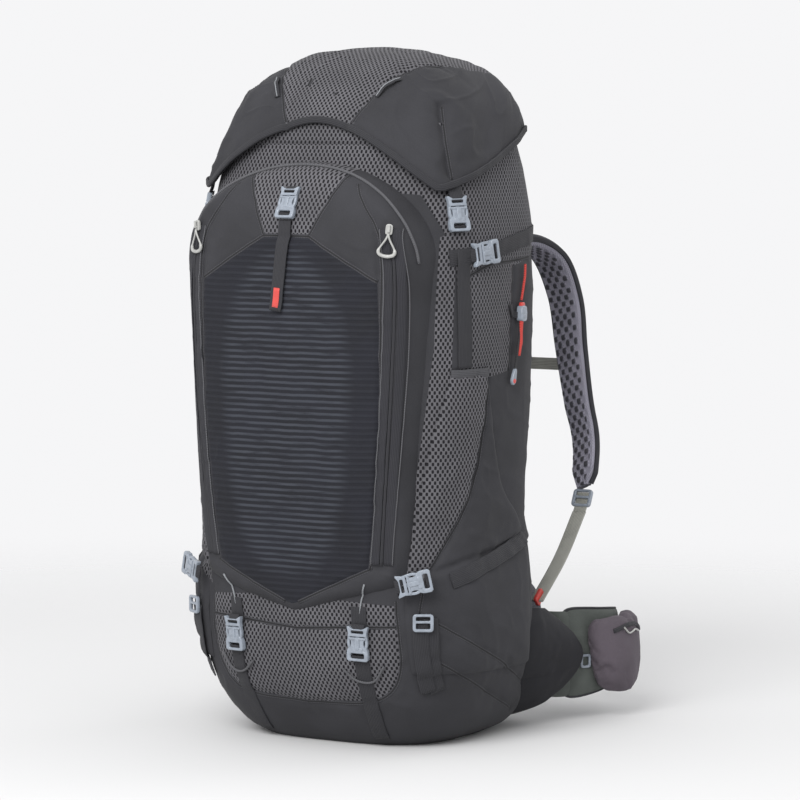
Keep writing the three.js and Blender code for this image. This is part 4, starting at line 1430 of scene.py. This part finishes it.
def superellipse(angles, exponent):
    """Points of a rounded square of half width 1."""
    c, s = np.cos(angles), np.sin(angles)
    reach = 1 / (np.abs(c) ** exponent + np.abs(s) ** exponent) ** (1 / exponent)
    return c * reach, s * reach


def band(name, path, across, width, thick, sign, material, around=72, relief=None):
    """A padded band along a path. relief gives how far its skin stands out, and how deep its pits are."""
    tangent = unit(np.gradient(path, axis=0))
    side = unit(across - tangent * np.sum(across * tangent, -1, keepdims=True))
    face = np.cross(tangent, side)
    cu, cv = superellipse(np.arange(around) * 2 * math.pi / around, 3)
    u, v = width[:, None] / 2 * cu, thick[:, None] / 2 * cv
    length = length_along(path)[:, None] + 0 * u
    skin_points = path[:, None] + side[:, None] * u[..., None] + face[:, None] * v[..., None]
    pit = np.zeros(u.shape)
    if relief:
        lift, pit = relief(length, u, cv, width[:, None] / 2)
        skin_points = skin_points + grid_normals(skin_points, closed=True) * -lift[..., None]
    skin_points[..., 0] *= sign
    rows, columns = u.shape
    faces = grid_faces(rows, columns, closed=True) + end_caps(rows, columns)
    if sign < 0:
        faces = [f[::-1] for f in faces]
    cloth = np.stack([length, u + np.where(cv > 0, 0, 0.5), v], -1)
    outer = 1 - smoothstep(cv, -0.35, 0.1) + 0 * u
    return add_mesh(name, skin_points, faces, material, cloth=cloth, pit=pit, outer=outer)


STRAP_PATH = [(56, 192, 588), (62, 214, 614), (74, 266, 624), (90, 318, 600), (104, 338, 545)]
STRAP_PATH += [(117, 332, 478), (133, 322, 415), (150, 313, 362), (160, 296, 322), (164, 284, 300)]
STRAP_COUNT = 260
STRAP_FOOT = (172, 146, 164)
PIPED = slice(24, -6, 3)  # the part of the shoulder strap's path that has piping at its edges


def strap_relief(along_it, across, facing, half):
    """Deep pits in the mesh of the inner face, inside a smooth rim, and a channel along both edges."""
    cells = np.sin(2 * math.pi * across / 0.0155) * np.sin(2 * math.pi * along_it / 0.0180)
    field = smoothstep(half - np.abs(across), 0.005, 0.008) * smoothstep(facing, 0.7, 0.85)
    pit = smoothstep(cells, -0.12, 0.35) * field
    channel = np.exp(-(((half - np.abs(across) - 0.004) / 0.0014) ** 2))
    channel = channel * smoothstep(np.abs(facing), 0.6, 0.8)
    quilt = 0.0009 * noise(along_it / 0.03, across / 0.03, 81)
    return quilt - 0.0030 * pit - 0.0012 * channel, pit


def shoulder(side, sign):
    """The curved pad with its piping, and the webbing and adjuster that run down to the belt."""
    t = np.linspace(0, 1, STRAP_COUNT)
    path = curve(np.array(STRAP_PATH) * MM, STRAP_COUNT)
    across = np.stack([np.cos(0.1 + 0.45 * t), -np.sin(0.1 + 0.45 * t), 0 * t], -1)
    width = (0.070 + (0.046 - 0.070) * t) * tapered(t, 0.6, 4)
    thick = 0.015 * tapered(t, 0.4, 5)
    name = f"shoulder_pad_{side}"
    pad = band(name, path, across, width, thick, sign, STRAP_MESH, around=132, relief=strap_relief)
    stands_for(pad, f"shoulder_strap_{side}")
    flip = np.array([sign, 1, 1])
    outline = strap_outline(0.0075, 0.0034)
    for edge in (-1, 1):
        line = (path + unit(across) * (width[:, None] / 2 + 0.0004) * edge)[PIPED] * flip
        out = unit(across)[PIPED] * edge * flip
        piping = sweep(f"shoulder_edge_{side}_{edge + 1}", line, out, outline, ZIP_TAPE)
        goes_with(piping, f"shoulder_strap_{side}")
    points = curve(np.array([(166, 268, 268), (169, 214, 214), STRAP_FOOT]) * MM, 60)
    normal = np.tile((0.0, 0.7, -0.7), (60, 1))
    outline = strap_outline(WEB_WIDTH, WEB_THICK)
    hanging = sweep(f"shoulder_web_{side}", points * flip, normal * flip, outline, OLIVE_WEB)
    stands_for(hanging, f"strap_webbing_{side}")
    upper = curve(np.array([(164, 283, 292), (164, 279, 280), (166, 268, 268)]) * MM, 20)
    normal = np.tile((0.0, 0.9, -0.45), (20, 1))
    outline = strap_outline(0.019, WEB_THICK)
    turn = sweep(f"shoulder_web_top_{side}", upper * flip, normal * flip, outline, OLIVE_WEB)
    goes_with(turn, f"strap_adjuster_{side}")
    way, out = unit(np.array([0, -0.45, -1.0])), np.array([0, 1.0, -0.45])
    place = on_side((np.array([164, 282, 297]) * MM, way, out, 1.0), sign)
    stands_for(ladder_lock(f"strap_adjuster_moulding_{side}", place), f"strap_adjuster_{side}")
    way, out = np.array([0, 0.74, 0.67]), np.array([1.0, 0, 0])
    foot = on_side((np.array([173, 150, 168]) * MM, way, out, 1.0), sign)
    parts = [plate([rounded_box(-7, 7, -9, 12, 3)], -2.4, 2.4, edge=1.2)]
    goes_with(assemble(f"strap_foot_tab_{side}", parts, foot, RED_PLASTIC), "main_bag")


WING_PATH = [(171, 212, 88), (188, 236, 89), (198, 270, 90), (192, 312, 91), (168, 349, 92), (132, 376, 93)]
PURSE_PATH = [(204, 234, 85), (215, 264, 85), (210, 308, 86), (193, 340, 87)]
PURSE_ZIP = [(244, 118), (270, 123), (300, 122), (328, 112)]
PURSE_PULL = [(262, 121), (272, 113), (288, 116), (304, 112)]
HIP_COUNT = 120
RING_PLACE = (0.233, 0.078)


def wing_relief(along_it, across, facing, half):
    """Two grooves along each face of the wing, without pits."""
    groove = np.exp(-(((np.abs(across) - 0.022) / 0.003) ** 2)) * smoothstep(np.abs(facing), 0.6, 0.9)
    return 0.0008 * noise(along_it / 0.03, across / 0.02, 91) - 0.0016 * groove, np.zeros(across.shape)


def purse_relief(along_it, across, facing, half):
    """Slack cloth: puckers, and a groove along the zip, without pits."""
    zip_line = np.exp(-(((across - 0.016) / 0.003) ** 2)) * smoothstep(facing, -0.2, -0.8)
    creased = 0.0016 * noise(along_it / 0.016, across / 0.05 + along_it / 0.05, 95)
    fine = 0.0007 * noise(along_it / 0.008, across / 0.010, 96)
    return creased + fine - 0.0018 * zip_line, np.zeros(across.shape)


# The cloth simulation of a pad: sizes in metres, pressure as Blender's cloth takes it, slack as a share.
PILLOW = {"voxel": 0.004, "held": 0.004, "pressure": 2.5, "slack": 0.1, "cap": 0.008, "frames": 20}


def evaluated(piece):
    """A mesh of the piece as its modifiers leave it."""
    return bpy.data.meshes.new_from_object(piece.evaluated_get(bpy.context.evaluated_depsgraph_get()))


def pillowed(piece, wall):
    """Blows a pad up as slack cloth that is held where it lies on the wall behind it."""
    scene = bpy.context.scene
    voxels = piece.modifiers.new("voxels", "REMESH")
    voxels.mode, voxels.voxel_size = "VOXEL", PILLOW["voxel"]
    solid = evaluated(piece)
    piece.modifiers.clear()
    piece.data = solid
    start = np.array([v.co for v in solid.vertices])
    held = piece.vertex_groups.new(name="held")
    for i, point in enumerate(start):
        near, _ = wall.near(point)
        if np.linalg.norm(near - point) < PILLOW["held"]:
            held.add([i], 1.0, "ADD")
    cloth = piece.modifiers.new("cloth", "CLOTH")
    cloth.settings.use_pressure = True
    cloth.settings.uniform_pressure_force = PILLOW["pressure"]
    cloth.settings.effector_weights.gravity = 0
    cloth.settings.shrink_min = -PILLOW["slack"]
    cloth.settings.vertex_group_mass = "held"
    for number in range(1, PILLOW["frames"] + 1):
        scene.frame_set(number)
    blown = evaluated(piece)
    shift = np.array([v.co for v in blown.vertices]) - start
    bpy.data.meshes.remove(blown)
    piece.modifiers.clear()
    piece.vertex_groups.clear()
    scene.frame_set(1)
    shift *= np.minimum(1, PILLOW["cap"] / np.maximum(np.linalg.norm(shift, axis=1), 1e-9))[:, None]
    placed = start + shift
    solid.vertices.foreach_set("co", placed.ravel())
    weave = np.column_stack([placed[:, 1], placed[:, 2], 0 * placed[:, 2]]).astype(np.float32)
    solid.attributes.new("cloth", "FLOAT_VECTOR", "POINT").data.foreach_set("vector", weave.ravel())
    solid.polygons.foreach_set("use_smooth", [True] * len(solid.polygons))
    solid.update()
    finer = piece.modifiers.new("finer", "SUBSURF")
    finer.levels = finer.render_levels = 1


def hip_wing(side, sign):
    """The belt's padded wing with its bound edges."""
    t = np.linspace(0, 1, HIP_COUNT)
    up = np.tile((0.0, 0.0, 1.0), (HIP_COUNT, 1))
    path = curve(np.array(WING_PATH) * MM, HIP_COUNT)
    width = (0.120 + (0.066 - 0.120) * t**1.6) * rounded_ends(t, 9, 0.5)
    thick = 0.015 * rounded_ends(t, 6, 0.3)
    name = f"hip_wing_pad_{side}"
    wing = band(name, path, up, width, thick, sign, BELT_GREEN, around=96, relief=wing_relief)
    stands_for(wing, f"hip_wing_{side}")
    flip = np.array([sign, 1, 1])
    for edge in (-1, 1):
        line = (path + up * (width[:, None] / 2 - 0.0006) * edge)[3:-3:2] * flip
        out = (up * edge)[3:-3:2]
        piping = sweep(f"hip_wing_edge_{side}_{edge + 1}", line, out, strap_outline(0.008, 0.003), WEB)
        goes_with(piping, f"hip_wing_{side}")
    return wing


def hip_purse(side, sign, wing):
    """The belt's zipped pocket, puffed up on the wing."""
    t = np.linspace(0, 1, HIP_COUNT)
    up = np.tile((0.0, 0.0, 1.0), (HIP_COUNT, 1))
    path = curve(np.array(PURSE_PATH) * MM, HIP_COUNT)
    path = path + unit(path - np.array((0.02, 0.28, 0.09))) * 0.004 * np.sin(math.pi * t)[:, None]
    width, thick = 0.096 * rounded_ends(t, 4.5), 0.029 * rounded_ends(t, 3)
    name = f"hip_purse_{side}"
    purse = band(name, path, up, width, thick, sign, BELT_CLOTH, around=110, relief=purse_relief)
    for v in purse.data.vertices:
        v.co.y -= 0.30 * (v.co.z - 0.088) * float(1 - smoothstep(v.co.y, 0.25, 0.32))
    stands_for(purse, f"hip_pocket_{side}")
    pillowed(purse, Surface(wing))
    surface = Surface(purse)
    for name, line, lift, outline, material in (
        ("hip_purse_zip", PURSE_ZIP, 0.0006, strap_outline(0.006, 0.0022), WEB),
        ("hip_purse_pull", PURSE_PULL, 0.0022, round_outline(0.0012, 8), PULL_PLASTIC),
    ):
        places = [surface.side(sign, y, z) for y, z in smooth_line(line, 0.003, 40)]
        trim(f"{name}_{side}", f"hip_pocket_{side}", places, lift, outline, material)


def hip_ring(side, sign, wing):
    """A rectangular ring on the wing, ahead of the pocket."""
    point, normal = Surface(wing).side(sign, *RING_PLACE)
    outlines = [rounded_box(-8, 8, -9, 9, 3.5), rounded_box(-4.6, 4.6, -5.6, 5.6, 2)]
    place = (point + normal * 0.001, np.array([0, 0, 1.0]), normal, 1.0)
    ring = assemble(f"hip_ring_{side}", [plate(outlines, 0, 3.4, 1.1)], place, BUCKLE_PLASTIC)
    goes_with(ring, f"hip_wing_{side}")


def hip(side, sign):
    wing = hip_wing(side, sign)
    hip_purse(side, sign, wing)
    hip_ring(side, sign, wing)


SHOULDER_ROOT = [(50, 164, 528), (51, 173, 552), (54, 184, 575), (57, 196, 594), (60, 206, 604)]
BELT_ROOT = [(134, 184, 90), (156, 193, 89), (172, 206, 88), (179, 219, 88)]
ROOT_COUNT = 40


def strap_roots(side, sign):
    """The fixed cloth that the shoulder strap and the belt's wing grow out of."""
    flip = np.array([sign, 1, 1])
    path = curve(np.array(SHOULDER_ROOT) * MM, ROOT_COUNT)
    out = unit(np.cross((1.0, 0, 0), np.gradient(path, axis=0)))
    root = sweep(f"shoulder_root_{side}", path * flip, -out, strap_outline(0.044, 0.009), DARK_CLOTH)
    goes_with(root, "main_bag")
    path = curve(np.array(BELT_ROOT) * MM, ROOT_COUNT)
    t = np.linspace(0, 1, ROOT_COUNT)
    wide, thick = 0.112 * rounded_ends(t, 9, 0.6), 0.012 * rounded_ends(t, 6, 0.4)
    up = np.tile((0.0, 0.0, 1.0), (ROOT_COUNT, 1))
    root = band(f"belt_root_{side}", path, up, wide, thick, sign, BELT_GREEN)
    goes_with(root, "main_bag")


COVER_EDGE = [(180, 160, 34), (191, 190, 52), (200, 210, 74), (202, 216, 92)]
COVER_EDGE += [(198, 204, 114), (189, 180, 136), (180, 154, 155)]
COVER_ROOT = [(122, 18), (108, 50), (98, 84), (90, 116), (96, 142), (116, 160)]


def belt_cover(side, sign):
    """The cloth that runs from the bag's side over the root of the belt's wing."""
    rear = curve(np.array(COVER_EDGE) * MM, 70)
    root = curve(np.array(COVER_ROOT) * MM, 70)
    front = np.array([pack_surface.side(1, y, z)[0] for y, z in root]) - (0.0004, 0, 0)
    u = np.linspace(0, 1, 60)[None, :, None]
    middle = (front + rear) / 2 + (0.010, 0, 0)
    flat = (1 - u) ** 2 * front[:, None] + 2 * u * (1 - u) * middle[:, None] + u**2 * rear[:, None]
    s, z = flat[..., 1], flat[..., 2]
    wrinkle = 0.0022 * noise(s / 0.05 + z / 0.05, z / 0.018 - s / 0.03, 101)
    wrinkle += 0.0006 * noise(s / 0.01, z / 0.012, 102)
    flat[..., 0] += wrinkle * np.sin(math.pi * u[..., 0])
    flat[..., 0] *= sign
    faces = grid_faces(*s.shape)
    if sign < 0:
        faces = [f[::-1] for f in faces]
    cover = add_mesh(f"belt_cover_{side}", flat, faces, DARK_CLOTH, cloth=np.stack([s, z, 0 * z], -1))
    thicken(cover, 0.0016)
    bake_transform(cover)


def crossing(name, place, reach, width, thick, material):
    """Webbing from both sides to the halves of a buckle across the wearer's front."""
    buckle(f"{name}_buckle", place)
    point, scale = place[0], place[3]
    behind = point[1] - 0.0005 - thick / 2
    for side, sign in SIDES:
        line = [(sign * reach[0], reach[1], point[2])]
        line += [(sign * x * scale, behind, point[2]) for x in (0.036, 0.006)]
        points = curve(np.array(line), 50)
        out = np.tile((0.0, 1.0, 0.0), (50, 1))
        strap = sweep(f"{name}_web_{side}", points, out, strap_outline(width, thick), material)
        stands_for(strap, f"{name}_webbing_{side}")


# ---------------------------------------------------------------- back


def back_pad(name, node, width, z0, z1, reach, seed):
    """A moulded pad: rounded edges, a spine channel, side channels and a pitted mesh."""
    angles = np.linspace(0, 2 * math.pi, 241)[:-1]
    rise = np.concatenate([np.linspace(0, 0.75, 22), np.linspace(0.78, 1, 8)])
    fills = np.linspace(1, 0.02, 70)[1:]
    cu, cv = superellipse(angles, 4)
    rows = [(1 - 0.1 * (1 - math.cos(math.pi / 2 * r)), math.sin(math.pi / 2 * r)) for r in rise]
    rows += [(0.9 * f, 1.0) for f in fills]
    size = np.array([r[0] for r in rows])[:, None]
    height = np.array([r[1] for r in rows])[:, None]
    x, z = -width / 2 * cu * size, (z0 + z1) / 2 + (z1 - z0) / 2 * cv * size
    base = (along(BAG, 3, z) - 0.02) * (1 - np.abs(x / 0.21) ** 4)
    y = base + (reach - base) * height
    flat = smoothstep(1 - size, 0.09, 0.16)
    spine = np.exp(-((x / 0.016) ** 4))
    ribs = smoothstep(np.cos(2 * math.pi * (z - z0) / ((z1 - z0) / 4)), 0.75, 0.97)
    ribs = ribs * smoothstep(np.abs(x), 0.016, 0.03)
    cells = np.sin(2 * math.pi * x / 0.012) * np.sin(2 * math.pi * z / 0.014)
    pit = smoothstep(cells, 0.2, 0.6) * flat * (1 - spine) * (1 - ribs)
    y = y - flat * (0.006 * spine + 0.004 * ribs + 0.0016 * pit)
    y = y + 0.001 * flat * noise(x / 0.04, z / 0.04, seed)
    points = np.stack([x, y, z], -1)
    cloth = np.stack([x, z, y], -1)
    faces = grid_faces(*x.shape, closed=True) + end_caps(*x.shape)[1:]
    pad = add_mesh(name, points, faces, PAD_MESH, cloth=cloth, pit=pit)
    stands_for(pad, node)


def haul_loop():
    """The webbing handle behind the collar."""
    arc = bezier([(-0.043, 0.171), (-0.041, 0.211), (0.041, 0.211), (0.043, 0.171)], np.linspace(0, 1, 60))
    path = np.column_stack([arc, np.full(60, 0.694)])
    tangent = unit(np.gradient(path, axis=0))
    out = np.cross(tangent, (0, 0, 1.0))
    loop = sweep("haul_loop_web", path, -out, strap_outline(0.020, 0.0036), WEB)
    stands_for(loop, "haul_loop")


for side, sign in SIDES:
    shoulder(side, sign)
    hip(side, sign)
    strap_roots(side, sign)
    belt_cover(side, sign)
crossing("sternum", STERNUM_BUCKLE, (0.108, 0.343), 0.016, 0.0016, OLIVE_WEB)
crossing("hip", HIP_BUCKLE, (0.122, 0.386), 0.038, 0.0022, WEB)
back_pad("back_panel_pad", "back_panel", 0.236, 0.232, 0.562, 0.184, 111)
back_pad("lumbar_cushion", "lumbar_pad", 0.320, 0.026, 0.204, 0.204, 112)
haul_loop()
for node, material in (("framesheet", DARK_PLASTIC), ("frame_rod", ALLOY)):
    frame["nodes"][node].data.materials.clear()
    frame["nodes"][node].data.materials.append(material)


# ---------------------------------------------------------------- stage and light

FLOOR_RADIUS = 2.4


def stage():
    """A pale round floor that fades into the background."""
    look = Look("studio_floor", roughness=0.9)
    look.shader.inputs["Base Color"].default_value = (0.66, 0.66, 0.66, 1)
    x, y, _ = look.split(look.coordinates())
    reach = look.math("SQRT", look.plus(look.times(x, x), look.times(y, y)))
    look.plug(look.shader.inputs["Alpha"], look.step(reach, 0.98 * FLOOR_RADIUS, 0.4 * FLOOR_RADIUS))
    turn = np.arange(96) * 2 * math.pi / 96
    rim = np.stack([FLOOR_RADIUS * np.cos(turn), FLOOR_RADIUS * np.sin(turn), 0 * turn], -1)
    add_mesh("floor", rim, [list(range(96))], look.material)


def add_light(name, place, size, power):
    """A square lamp that faces the middle of the pack."""
    data = bpy.data.lights.new(name, "AREA")
    data.shape, data.size, data.energy = "SQUARE", size, power
    light = bpy.data.objects.new(name, data)
    light.location = place
    light.rotation_euler = (Vector(place) - Vector((0, 0, 0.4))).to_track_quat("Z", "Y").to_euler()
    bpy.context.collection.objects.link(light)


stage()
add_light("key", (0.6, -3.5, 2.8), 2.6, 170)
add_light("rim", (1.5, 3.0, 2.4), 2.0, 20)
world = bpy.data.worlds.new("studio")
world.use_nodes = True
world.node_tree.nodes["Background"].inputs["Color"].default_value = (0.92, 0.92, 0.93, 1)
world.node_tree.nodes["Background"].inputs["Strength"].default_value = 1.0
bpy.context.scene.world = world
bpy.context.scene.view_settings.view_transform = "Standard"
